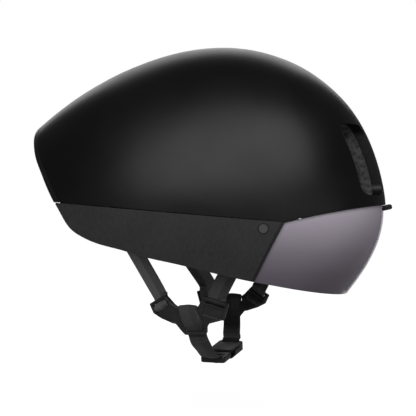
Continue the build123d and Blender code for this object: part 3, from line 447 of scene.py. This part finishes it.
def cover_paint():
    """Matt skin with fine near-upright woven lines and a band of painted shade along the lens."""
    paint = Paint("cover_matte")
    turned = paint.stretched((1.0, 1.0, 0.25), turn=(0, cover_thread_lean, 0))
    threads = paint.noise(size=0.9, detail=2, source=turned)
    patch = paint.noise(size=30.0, detail=3)
    tone = paint.mixed(threads, 0.7, patch, 0.3)
    along, _, up = paint.split()
    run = Vector((lens_heel[0] - lens_corner[0], lens_heel[1] - lens_corner[1])).normalized()
    ahead = paint.math("MULTIPLY", paint.math("SUBTRACT", along, lens_corner[0] * mm), -run.y)
    above = paint.math("MULTIPLY", paint.math("SUBTRACT", up, lens_corner[1] * mm), run.x)
    past = paint.math("ADD", ahead, above)
    # Painted shade in a band along the lens edge
    start = -(cover_painted_shade_band + cover_painted_shade_blur) * mm
    bevel = paint.graded(past, start, -cover_painted_shade_band * mm, 0.0, cover_painted_shade_depth)
    tone = paint.math("SUBTRACT", tone, bevel)
    stops = [
        (0.0, (0.0045, 0.0045, 0.0045)),
        (0.33, (0.0215, 0.0215, 0.0218)),
        (0.67, (0.0452, 0.0452, 0.0460)),
    ]
    paint.set(
        Base_Color=paint.ramp(tone, stops),
        Roughness=paint.varied(threads, 0.52, 0.66),
        Sheen_Weight=0.15,
        Sheen_Roughness=0.5,
    )
    paint.bumped([bump(threads, depth=0.12, strength=0.35)])
    return paint.material


def cap_paint():
    """Grey moulded disc with a groove round its edge, darkened with painted shade."""
    paint = Paint("cap_grey")
    along, _, up = paint.split()
    ahead = paint.math("SUBTRACT", along, magnet_place[0] * mm)
    above = paint.math("SUBTRACT", up, magnet_place[1] * mm)
    far = paint.diagonal(ahead, above)
    edge = paint.graded(far, cap_face * mm, (cap_face + cap_groove) * mm, 0.0, 1.0)
    speck = paint.noise(size=0.5, detail=2)
    # Painted shade in the groove round the disc
    shade = paint.math("MULTIPLY", edge, cap_groove_shade)
    grey = paint.math("SUBTRACT", paint.varied(speck, 0.45, 0.55), shade)
    paint.set(
        Base_Color=paint.ramp(grey, [(0.05, (0.004, 0.004, 0.004)), (0.5, (0.105, 0.105, 0.105))]),
        Roughness=paint.varied(speck, 0.40, 0.48),
    )
    groove = paint.math("SUBTRACT", 1.0, edge)
    paint.bumped([bump(groove, depth=0.5, strength=1.0), bump(speck, depth=0.03, strength=0.5)])
    return paint.material


def plain_plastic(name, dark, light, rough, grain, depth, edge):
    """Fine-grained moulded plastic."""
    paint = Paint(name)
    speck = paint.noise(grain, detail=2)
    patch = paint.noise(size=9.0, detail=3)
    paint.set(
        Base_Color=paint.shades(patch, dark, light),
        Roughness=paint.varied(patch, rough - 0.05, rough + 0.05),
    )
    paint.bumped([bump(speck, depth=depth, strength=0.5)], edge=edge)
    return paint.material


def foam_paint():
    """Expanded foam: fused beads a few millimetres across."""
    paint = Paint("foam_black")
    beads = paint.cells(bead_size)
    seams = paint.cells(bead_size, "DISTANCE_TO_EDGE")
    speck = paint.noise(size=1.1, detail=3)
    shade = paint.mixed(beads, 0.5, speck, 0.5)
    paint.set(
        Base_Color=paint.ramp(shade, [(0.3, (0.026, 0.026, 0.026)), (0.75, (0.145, 0.145, 0.145))]),
        Roughness=paint.varied(speck, 0.6, 0.8),
    )
    ridge = paint.graded(seams, 0.0, bead_seam, 0.0, 1.0)
    paint.bumped([bump(ridge, depth=0.3, strength=0.5), bump(speck, depth=0.15, strength=0.4)])
    return paint.material


def steel_paint(name, colour, rough):
    """Plated or brushed metal with fine scratches."""
    paint = Paint(name)
    scratch = paint.noise(size=0.5, detail=3, source=paint.stretched((1.0, 0.2, 1.0)))
    dark = tuple(0.85 * part for part in colour)
    paint.set(
        Base_Color=paint.shades(scratch, dark, colour),
        Metallic=1.0,
        Roughness=paint.varied(scratch, rough - 0.06, rough + 0.06),
    )
    paint.bumped([bump(scratch, depth=0.01, strength=0.4)])
    return paint.material


def lens_paint():
    """Grey-violet tinted lens, darker towards its lower edge, with a hard coat."""
    paint = Paint("lens_tint")
    up = paint.split()[2]
    patch = paint.noise(size=60.0, detail=2)
    wavy = paint.math("ADD", up, paint.math("MULTIPLY", patch, lens_wander * mm))
    height = paint.graded(wavy, lens_fade[0] * mm, lens_fade[1] * mm, 0.0, 1.0, smooth=False)
    stops = [
        (0.0, (0.158, 0.132, 0.169)),
        (0.2, (0.202, 0.173, 0.215)),
        (0.45, (0.325, 0.285, 0.341)),
        (0.7, (0.530, 0.471, 0.555)),
        (1.0, (0.790, 0.716, 0.821)),
    ]
    paint.set(
        Base_Color=paint.ramp(height, stops),
        Roughness=paint.varied(patch, 0.40, 0.46),
        Coat_Weight=0.10,
        Coat_Roughness=0.3,
        IOR=1.5,
        Sheen_Weight=1.0,
        Sheen_Roughness=0.25,
        Sheen_Tint=(0.86, 0.76, 1.0, 1),
        Alpha=paint.graded(paint.edge_on(), *lens_turn, *lens_opacity),
    )
    return paint.material


def pad_paint():
    """Brushed knit over soft foam."""
    paint = Paint("pad_fabric")
    knit = paint.cells(size=0.9)
    fluff = paint.noise(size=2.5, detail=4)
    tone = paint.mixed(knit, 0.6, fluff, 0.4)
    paint.set(
        Base_Color=paint.ramp(tone, [(0.25, (0.012, 0.012, 0.013)), (0.75, (0.034, 0.034, 0.037))]),
        Roughness=0.9,
        Sheen_Weight=0.35,
        Sheen_Roughness=0.4,
    )
    layers = [bump(knit, depth=0.25, strength=0.6), bump(fluff, depth=0.3, strength=0.3)]
    paint.bumped(layers, round_edges=False)
    return paint.material


def webbing_paint(name, light):
    """Flat webbing: ribs along the strap crossed by fine weft, with painted shade past its fold line."""
    paint = Paint(name)
    across, along, _ = paint.split(paint.uv)
    rib = paint.math("SINE", paint.math("MULTIPLY", across, 2 * math.pi / (rib_pitch * mm)))
    chevron = paint.math("ABSOLUTE", rib)
    wave = paint.math("MULTIPLY", along, 2 * math.pi / (weft_pitch * mm))
    weft = paint.math("SINE", paint.math("ADD", wave, rib))
    weave = paint.mixed(chevron, 0.5, weft, 0.25)
    fuzz = paint.noise(size=1.6, detail=4)
    # Painted shade on the half past the fold line, standing in for the shade that falls on that side of the
    # fold
    fold = crease_place * webbing_width / 2 * mm
    painted_fold_shade = paint.graded(across, fold, fold + crease_blur * mm, 0.0, fold_painted_shade)
    tone = paint.math("ADD", weave, paint.math("MULTIPLY", fuzz, 0.35))
    tone = paint.math("SUBTRACT", tone, painted_fold_shade)
    paint.set(
        Base_Color=paint.ramp(tone, [(0.0, (0.020, 0.020, 0.020)), (0.9, (light, light, light))]),
        Roughness=0.78,
        Sheen_Weight=0.3,
        Sheen_Roughness=0.35,
    )
    layers = [bump(weave, depth=0.12, strength=0.6), bump(fuzz, depth=0.1, strength=0.25)]
    paint.bumped(layers, round_edges=False)
    return paint.material


materials = {
    "shell_black": shell_paint(),
    "rim_black": rim_paint(),
    "cover_matte": cover_paint(),
    "cap_grey": cap_paint(),
    "foam_black": foam_paint(),
    "pad_fabric": pad_paint(),
    "lens_tint": lens_paint(),
}
for name, finish in plastics.items():
    materials[name] = plain_plastic(name, *finish)
for name, finish in metals.items():
    materials[name] = steel_paint(name, *finish)
for name, light in webbing_lit_and_shaded_tones.items():
    materials[name] = webbing_paint(name, light)


def dress_nodes():
    """Give every CAD node the material of its slot."""
    for part in frame["record"]["subparts"]:
        node = nodes[part["node"]]
        node.data.materials.clear()
        node.data.materials.append(materials[part["material_slot"]])


def seen_directly(tree):
    """One for rays from the camera or through glass, zero for all others."""
    path = tree.nodes.new("ShaderNodeLightPath")
    seen = tree.nodes.new("ShaderNodeMath")
    seen.operation = "MAXIMUM"
    tree.links.new(path.outputs["Is Camera Ray"], seen.inputs[0])
    tree.links.new(path.outputs["Is Transmission Ray"], seen.inputs[1])
    return seen.outputs[0]


def make_world():
    """Plain pale surroundings, white where they are seen directly."""
    world = bpy.data.worlds.new("surroundings")
    bpy.context.scene.world = world
    world.use_nodes = True
    tree = world.node_tree
    seen = seen_directly(tree)
    plain = tree.nodes["Background"]
    plain.inputs["Color"].default_value = (1, 1, 1, 1)
    plain.inputs["Strength"].default_value = world_light
    white = tree.nodes.new("ShaderNodeBackground")
    white.inputs["Color"].default_value = (1, 1, 1, 1)
    mix = tree.nodes.new("ShaderNodeMixShader")
    tree.links.new(seen, mix.inputs[0])
    tree.links.new(plain.outputs[0], mix.inputs[1])
    tree.links.new(white.outputs[0], mix.inputs[2])
    tree.links.new(mix.outputs[0], tree.nodes["World Output"].inputs["Surface"])


def floor_paint():
    """Pale paint that keeps a soft shadow near the helmet and is plain white further out."""
    paint = Paint("floor_pale")
    tree = paint.tree
    grain = paint.noise(size=400.0, detail=3)
    paint.set(
        Base_Color=paint.shades(grain, (0.50, 0.50, 0.50), (0.53, 0.53, 0.53)),
        Roughness=0.9,
        Specular_IOR_Level=0.0,
    )
    seen = seen_directly(tree)
    glow = tree.nodes.new("ShaderNodeEmission")
    across, along, _ = paint.split()
    far = paint.diagonal(across, along)
    strength = paint.graded(far, shadow_reach * mm, 2 * shadow_reach * mm, floor_glow, 1.0)
    paint.link(strength, glow.inputs["Strength"])
    total = tree.nodes.new("ShaderNodeAddShader")
    tree.links.new(paint.shader.outputs[0], total.inputs[0])
    tree.links.new(glow.outputs[0], total.inputs[1])
    mix = tree.nodes.new("ShaderNodeMixShader")
    tree.links.new(seen, mix.inputs[0])
    tree.links.new(paint.shader.outputs[0], mix.inputs[1])
    tree.links.new(total.outputs[0], mix.inputs[2])
    tree.links.new(mix.outputs[0], paint.output.inputs["Surface"])
    return paint.material


def make_floor():
    """Large flat floor under the helmet."""
    mesh = bpy.data.meshes.new("floor")
    half = floor_half * mm
    height = -floor_drop * mm
    corners = [(-half, -half, height), (half, -half, height), (half, half, height), (-half, half, height)]
    mesh.from_pydata(corners, [], [(0, 1, 2, 3)])
    mesh.materials.append(floor_paint())
    floor = bpy.data.objects.new("floor", mesh)
    bpy.context.scene.collection.objects.link(floor)


def aim(thing, place, target):
    """Put a light or camera at a place and turn it to a target, both in millimetres."""
    start = Vector(place) * mm
    thing.location = start
    thing.rotation_euler = (Vector(target) * mm - start).to_track_quat("-Z", "Y").to_euler()


def make_light(name, place, target, width, height, power, roll):
    """Soft rectangular lamp, turned about its own axis by a roll in degrees."""
    data = bpy.data.lights.new(name, "AREA")
    data.shape = "RECTANGLE"
    data.size = width * mm
    data.size_y = height * mm
    data.energy = power
    lamp = bpy.data.objects.new(name, data)
    bpy.context.scene.collection.objects.link(lamp)
    aim(lamp, place, target)
    lamp.rotation_euler.rotate_axis("Z", math.radians(roll))
    lamp.visible_camera = False


def make_camera():
    """Camera at the photograph's viewpoint."""
    data = bpy.data.cameras.new("camera")
    data.lens = camera_lens
    data.sensor_width = camera_sensor
    camera = bpy.data.objects.new("camera", data)
    bpy.context.scene.collection.objects.link(camera)
    place = (
        camera_target[0] + camera_distance * math.sin(camera_azimuth),
        camera_target[1] - camera_distance * math.cos(camera_azimuth),
        camera_target[2],
    )
    aim(camera, place, camera_target)
    bpy.context.scene.camera = camera


def new_object(name, mesh, material):
    """Object in the scene with one material and smooth faces."""
    for face in mesh.polygons:
        face.use_smooth = True
    mesh.materials.append(material)
    thing = bpy.data.objects.new(name, mesh)
    bpy.context.scene.collection.objects.link(thing)
    return thing


def divider_axes(side, place=0.0):
    """Directions along, up and outwards of one divider's plate, or of its folded arm."""
    along = Vector((-side, 0, 0))
    outwards = Vector((0, side * math.cos(divider_tilt), -math.sin(divider_tilt)))
    up = outwards.cross(along)
    if place < divider_fold_along:
        cosine, sine = math.cos(divider_fold), math.sin(divider_fold)
        along, outwards = along * cosine + outwards * sine, outwards * cosine - along * sine
    return along, up, outwards


def on_divider(side, along, up, out):
    """Point given in one divider's own plane, in millimetres."""
    fold = max(along, divider_fold_along)
    axes = divider_axes(side, along)
    place = Vector(divider_middles[side]) + fold * divider_axes(side)[0] + up * axes[1]
    return place + (along - fold) * axes[0] + out * axes[2]


def edge_frame(edge):
    """Middle of an outline edge, the direction along it and the direction into the plate."""
    ends = [Vector((along * divider_length, up * divider_height)) for along, up in edge]
    run = (ends[1] - ends[0]).normalized()
    return (ends[0] + ends[1]) / 2, run, Vector((run.y, -run.x))


def buckle_matrix():
    """Turn and place of the buckle."""
    turn = Matrix.Rotation(buckle_pitch, 4, "X") @ Matrix.Rotation(buckle_yaw, 4, "Z")
    return Matrix.Translation(Vector(buckle_middle)) @ turn


def on_buckle(across, along, up):
    """Point given in the buckle's own frame, in millimetres."""
    return buckle_matrix() @ Vector((across, along, up))


def eased(share):
    """Share of a way that starts and ends gently."""
    return share * share * (3 - 2 * share)


def curve_point(values, share):
    """Point of a smooth curve through values, at a place counted in spans."""
    count = len(values) - 1
    index = min(int(share), count - 1)
    part = share - index
    before = values[max(index - 1, 0)]
    after = values[min(index + 2, count)]
    start, end = values[index], values[index + 1]
    slope_start = (end - before) / (2 if index > 0 else 1)
    slope_end = (after - start) / (2 if index + 1 < count else 1)
    start_share = 2 * part**3 - 3 * part**2 + 1
    start_lean = part**3 - 2 * part**2 + part
    end_share = 3 * part**2 - 2 * part**3
    end_lean = part**3 - part**2
    return start * start_share + slope_start * start_lean + end * end_share + slope_end * end_lean


def squared(rows):
    """Rows with the width square to the strap's run, and the normal in place of the face direction."""
    turned = []
    for number, (middle, width, face, run) in enumerate(rows):
        ahead = rows[min(number + 1, len(rows) - 1)][0] - rows[max(number - 1, 0)][0]
        ahead.normalize()
        width = (width - ahead * width.dot(ahead)).normalized()
        normal = ahead.cross(width)
        if normal.dot(face) < 0:
            normal = -normal
        turned.append((middle, width, normal, run))
    return turned


def sampled(stations):
    """Closely spaced rows along a strap: middle, width direction, normal and distance from the start."""
    middles = [Vector(station[0]) for station in stations]
    widths = [Vector(station[1]).normalized() for station in stations]
    faces = [Vector(station[2]).normalized() for station in stations]
    rows = []
    run = 0.0
    last = None
    for index in range(len(stations) - 1):
        steps = max(least_steps, round((middles[index + 1] - middles[index]).length / webbing_step))
        for step in range(steps + (index == len(stations) - 2)):
            share = index + step / steps
            middle = curve_point(middles, share)
            turned = eased(share - index)
            width = widths[index].lerp(widths[index + 1], turned).normalized()
            face = faces[index].lerp(faces[index + 1], turned)
            if last is not None:
                run += (middle - last).length
            last = middle
            rows.append((middle, width, face, run))
    return squared(rows)


def webbing_section():
    """Outline of the webbing's cut: places across and heights, folded a little along one line."""
    top, bottom = [], []
    for index in range(webbing_across + 1):
        share = index / webbing_across * 2 - 1
        lift = webbing_crease * (1 - abs(share - crease_place) / (1 + abs(crease_place))) - webbing_crease / 2
        half = webbing_thickness / 2 * (1 - edge_thinning * abs(share) ** edge_power)
        top.append((share * webbing_width / 2, lift + half))
        bottom.append((share * webbing_width / 2, lift - half))
    return top + bottom[::-1]


def make_webbing(name, paint, rows):
    """Flat strap along rows of a middle, a width direction, a normal and a distance."""
    section = webbing_section()
    vertices, faces, coordinates = [], [], []
    for middle, width, normal, run in rows:
        for across, height in section:
            vertices.append((middle + width * across + normal * height) * mm)
            coordinates.append((across * mm, run * mm))
    count = len(section)
    for row in range(len(rows) - 1):
        for index in range(count):
            here = row * count + index
            beside = row * count + (index + 1) % count
            faces.append((here, beside, beside + count, here + count))
    faces.append(tuple(range(count))[::-1])
    faces.append(tuple((len(rows) - 1) * count + index for index in range(count)))
    mesh = bpy.data.meshes.new(name)
    mesh.from_pydata(vertices, [], faces)
    layer = mesh.uv_layers.new(name="UVMap")
    for loop in mesh.loops:
        layer.data[loop.index].uv = coordinates[loop.vertex_index]
    strap = new_object(name, mesh, materials[paint])
    return strap


def make_stitches(name, rows, side, start, end):
    """Row of thread stitches along one edge of a strap's face."""
    height = webbing_thickness / 2 - webbing_crease / 2 + stitch_lift
    mesh = bpy.data.meshes.new(name)
    shape = bmesh.new()
    place = start
    while place + stitch_length < end:
        near = min(rows, key=lambda row: abs(row[3] - place))
        far = min(rows, key=lambda row: abs(row[3] - place - stitch_length))
        ends = []
        for middle, width, normal, _ in (near, far):
            shift = width * side * (webbing_width / 2 - stitch_inset)
            ends.append(middle + shift + normal * height)
        run = ends[1] - ends[0]
        if run.length > 0:
            ball = bmesh.ops.create_uvsphere(
                shape, u_segments=ball_segments, v_segments=ball_rings, radius=ball_radius
            )
            turn = run.to_track_quat("X", "Z").to_matrix().to_4x4()
            size = Matrix.Diagonal((run.length * mm, stitch_width * mm, stitch_width * mm, 1))
            matrix = Matrix.Translation((ends[0] + ends[1]) / 2 * mm) @ turn @ size
            bmesh.ops.transform(shape, matrix=matrix, verts=ball["verts"])
        place += stitch_pitch
    shape.to_mesh(mesh)
    shape.free()
    thread = new_object(name, mesh, materials["thread"])
    return thread


def bar_stations(side, edge, steps):
    """Stations square to one edge of a divider, each a depth into the plate and a height off it."""
    middle, run, inwards = edge_frame(edge)
    if edge is tri_glide_edge:
        middle = middle + run * tri_glide_shift
    outwards = divider_axes(side, middle.x)[2]
    width = on_divider(side, *(middle + run), 0) - on_divider(side, *middle, 0)
    return [(on_divider(side, *(middle + inwards * depth), out), width, outwards) for depth, out in steps]


def through_tri_glide(side):
    """Behind the top bar, out over the middle bar, in again and down behind the plate."""
    slot = bar_width + slot_height / 2
    pitch = (bar_width + slot_height) / 2
    steps = [
        (-lead_in, -face_offset),
        (bar_width / 2, -face_offset),
        (slot, 0.0),
        (slot + pitch, face_offset),
        (slot + 2 * pitch, 0.0),
        (slot + 3 * pitch, -face_offset),
        (slot + 4 * pitch, -face_offset),
    ]
    return bar_stations(side, tri_glide_edge, steps)


def behind_rib(side):
    """Behind the rib bar and its slot, and down behind the plate."""
    slot = bar_width + slot_height / 2
    steps = [(-lead_in, -face_offset), (bar_width / 2, -face_offset), (slot, -face_offset)]
    steps.append((slot + 2 * slot_height, -face_offset))
    return bar_stations(side, rib_edge, steps)


def side_strap(name, side, anchor, path, twist):
    """Strap from an anchor in the liner, given for the left side, to one arm of a divider."""
    top = Vector((anchor[0], side * anchor[1], anchor[2]))
    width = Vector((1, side * twist, 0))
    face = Vector((-twist, side, 0))
    if width.dot(path[0][1]) < 0:
        width = -width
    # The rear straps take the webbing copy painted lighter, as painted light
    paint = "webbing_rear_painted_light" if name.startswith("rear") else "webbing"
    strap = make_webbing("webbing_" + name, paint, sampled([(top, width, face)] + path))
    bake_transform(strap)
    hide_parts(name)


def make_side_straps():
    """The four straps from the liner's anchors to the dividers."""
    for side, word in sides:
        rear_path = through_tri_glide(side) if side < 0 else behind_rib(side)
        front_path = behind_rib(side) if side < 0 else through_tri_glide(side)
        side_strap("rear_strap_" + word, side, rear_anchor, rear_path, rear_twists[side])
        side_strap("front_strap_" + word, side, front_anchor, front_path, 0.0)


def inset_corner(index, depth):
    """Corner of the divider's outline, moved into the plate."""
    corners = [Vector((along * divider_length, up * divider_height)) for along, up in divider_shares]
    count = len(corners)
    before, here, after = corners[index - 1], corners[index], corners[(index + 1) % count]
    first, second = (here - before).normalized(), (after - here).normalized()
    square = Vector((first.y + second.y, -first.x - second.x)).normalized()
    return here + square * depth / max(square.dot(Vector((first.y, -first.x))), sharpest_corner)


def make_rods(name, side, runs, out, paint):
    """Thin round rods along runs of corners on a divider, at one height off its middle plane."""
    curve = bpy.data.curves.new("rods", "CURVE")
    curve.dimensions = "3D"
    curve.bevel_depth = lip_radius * mm
    curve.bevel_resolution = lip_roundness
    curve.use_fill_caps = True
    for corners in runs:
        places = [corners[0]]
        for start, end in zip(corners, corners[1:]):
            places += [start.lerp(end, share / lip_steps) for share in range(1, lip_steps + 1)]
        spline = curve.splines.new("POLY")
        spline.points.add(len(places) - 1)
        for point, place in zip(spline.points, places):
            point.co = (*(on_divider(side, place.x, place.y, out) * mm), 1)
    shape = bpy.data.objects.new("rods", curve)
    mesh = bpy.data.meshes.new_from_object(shape)
    bpy.data.objects.remove(shape)
    rods = new_object(name, mesh, materials[paint])
    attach(rods, "divider_right" if side < 0 else "divider_left")


def make_divider_lips():
    """Raised lips round both dividers' arms, on both faces, coloured lighter than the plates as a painted
    highlight, and the rounded ends of their keeper slots.
    """
    edges = [[inset_corner(index, lip_inset) for index in run] for run in lip_runs]
    ends = []
    for hand in (-1, 1):
        along = keeper_along + hand * (slot_length / 2 - keeper_end_inset)
        ends.append([Vector((along, keeper_middle + rise)) for rise in (keeper_half, -keeper_half)])
    for side, word in sides:
        # Lips in the lighter plastic, as a painted highlight
        make_rods(f"divider_lips_{word}_outer", side, edges, divider_wall / 2, "edge_plastic")
        make_rods(f"divider_lips_{word}_inner", side, edges, -divider_wall / 2, "edge_plastic")
        make_rods(f"divider_slot_ends_{word}", side, ends, 0, "buckle_plastic")


def chin_loop(side):
    """Stations over a divider's top bar, from the hidden face to the face that shows."""
    place, lean = loop_places[side]
    top = top_bar_edge[0][1] * divider_height
    crown = top + webbing_thickness / 2 + loop_lift
    hidden = side * face_offset
    width, up, outwards = divider_axes(side)
    return [
        (on_divider(side, place, top - loop_start, hidden), width, outwards * side),
        (on_divider(side, place, top - loop_depth, hidden), width, outwards * side),
        (on_divider(side, place, crown, 0.0), width, up),
        (on_divider(side, place + lean, top - loop_depth, -hidden), width, -outwards * side),
    ]


def make_chin_strap_right():
    """Strap over the near divider's bar, down its face, in under the keeper bar and on to the plug."""
    side = -1
    along, up, outwards = divider_axes(side)
    tilted = along + up * chin_lean
    across, _, above = (buckle_matrix().to_3x3().col[axis] for axis in range(3))
    stations = chin_loop(side)
    first_face = len(stations)
    for ahead, rise, out in keeper_steps:
        place = on_divider(side, keeper_along + ahead, keeper_middle + rise, out)
        stations.append((place, tilted, outwards))
    split = len(stations) - 1
    faces = [outwards - above] + [-above] * (len(plug_places) - 1)
    stations += [(on_buckle(*place), across, face) for place, face in zip(plug_places, faces)]
    rows = sampled(stations)
    cut = min(range(len(rows)), key=lambda number: (rows[number][0] - stations[split][0]).length)
    # The near chin strap takes the webbing copy painted darker, as painted shade
    upper = make_webbing("webbing_chin_right_upper", "webbing_chin_painted_shade", rows[: cut + 1])
    lower = make_webbing("webbing_chin_right_lower", "webbing_chin_painted_shade", rows[cut:])
    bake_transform(upper)
    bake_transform(lower)
    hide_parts("chin_strap_right")
    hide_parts("chin_strap_right")
    starts = [row[3] for row in rows if (row[0] - stations[first_face - 1][0]).length < webbing_step]
    ends = [row[3] for row in rows if (row[0] - stations[first_face][0]).length < webbing_step]
    stitches = make_stitches("chin_stitches_right", rows, 1, starts[0], ends[-1])
    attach(stitches, "divider_right")


def make_chin_strap_left():
    """Strap over the far divider's bar, down its inner face and on to the socket."""
    side = 1
    along, _, outwards = divider_axes(side)
    across, lengthways, above = (buckle_matrix().to_3x3().col[axis] for axis in range(3))
    stations = chin_loop(side)
    face_end = on_divider(side, loop_places[side][0], far_face_end, -face_offset)
    stations.append((face_end, along, -outwards))
    for place, share, (rise, out, ahead) in socket_places:
        width = along * share - across * (1 - share)
        stations.append((on_buckle(*place), width, above * rise + outwards * out + lengthways * ahead))
    rows = sampled(stations)
    # The far chin strap takes the webbing copy painted darker, as painted shade
    strap = make_webbing("webbing_chin_left", "webbing_chin_painted_shade", rows)
    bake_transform(strap)
    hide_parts("chin_strap_left")


def apply_modifiers(thing):
    """Put what the modifiers make into the mesh itself."""
    graph = bpy.context.evaluated_depsgraph_get()
    graph.update()
    made = bpy.data.meshes.new_from_object(thing.evaluated_get(graph))
    thing.modifiers.clear()
    thing.data = made


def swollen(thing):
    """Let a closed fabric skin swell with a little pressure and no weight."""
    cloth = thing.modifiers.new("swell", "CLOTH")
    cloth.settings.use_pressure = True
    cloth.settings.uniform_pressure_force = pad_pressure
    cloth.settings.effector_weights.gravity = 0
    cloth.settings.quality = pad_quality
    cloth.point_cache.frame_start = 1
    cloth.point_cache.frame_end = pad_frames
    for number in range(1, pad_frames + 1):
        bpy.context.scene.frame_set(number)
    apply_modifiers(thing)
    bpy.context.scene.frame_set(1)


def even_skin(name, node):
    """Skin of even faces in a pad's place, drawn in a little to leave room for the swelling."""
    mesh = nodes[node].data.copy()
    mesh.name = name
    mesh.materials.clear()
    thing = new_object(name, mesh, materials["pad_fabric"])
    remesh = thing.modifiers.new("even", "REMESH")
    remesh.mode = "VOXEL"
    remesh.voxel_size = pad_voxel * mm
    remesh.use_smooth_shade = True
    apply_modifiers(thing)
    for vertex in thing.data.vertices:
        vertex.co = vertex.co - vertex.normal * pad_shrink * mm
    return thing


def cushion(name, node, body, across, levels, middle=head_middle, swell=pad_swell):
    """Crowned pad in a node's place, with sewn channels square to one direction at some levels."""
    thing = even_skin(name, node)
    centre = Vector(middle) * mm
    start = [vertex.co.copy() for vertex in thing.data.vertices]
    normals = [vertex.normal.copy() for vertex in thing.data.vertices]
    outwards = [(point - centre).normalized().dot(normal) for point, normal in zip(start, normals)]
    swollen(thing)
    for vertex, place, out in zip(thing.data.vertices, start, outwards):
        cap = (pad_rest_swell if out > outer_face else swell) * mm
        move = vertex.co - place
        if move.length > cap:
            vertex.co = place + move.normalized() * cap
        depth = 0.0
        for level in levels:
            off = abs(place.dot(Vector(across)) / mm - level)
            depth = max(depth, 1 - min(off / channel_half_width, 1.0))
        if out < outer_face:
            towards = (place - centre).normalized()
            vertex.co += towards * eased(depth) * channel_sink * mm
    smooth = thing.modifiers.new("round", "SUBSURF")
    smooth.levels = 1
    apply_modifiers(thing)
    for face in thing.data.polygons:
        face.use_smooth = True
    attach(thing, body)
    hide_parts(node)


def make_pads():
    """All comfort pads: on the foam, on the headband and on the two cradle arms."""
    for pad, (across, levels, swell) in middle_pads.items():
        cushion("cushion_" + pad, pad + "_pad", "helmet", across, levels, swell=swell)
    for side, word in sides:
        across, level = side_channel
        cushion("cushion_side_" + word, "side_pad_" + word, "helmet", across, [level])
        (ahead, out, up), level = rear_channel
        cushion("cushion_rear_" + word, "rear_pad_" + word, "helmet", (ahead, side * out, up), [level])
        across, level = cradle_channel
        pad, body, levels = "cradle_pad_" + word, "arm_" + word, [side * level]
        cushion("cushion_cradle_" + word, pad, body, across, levels, cradle_middle, cradle_swell)


dress_nodes()
make_world()
make_floor()
for name, settings in lamps.items():
    make_light(name, *settings)
make_camera()
make_side_straps()
make_chin_strap_right()
make_chin_strap_left()
make_divider_lips()
make_pads()
bpy.context.scene.view_settings.view_transform = "Standard"
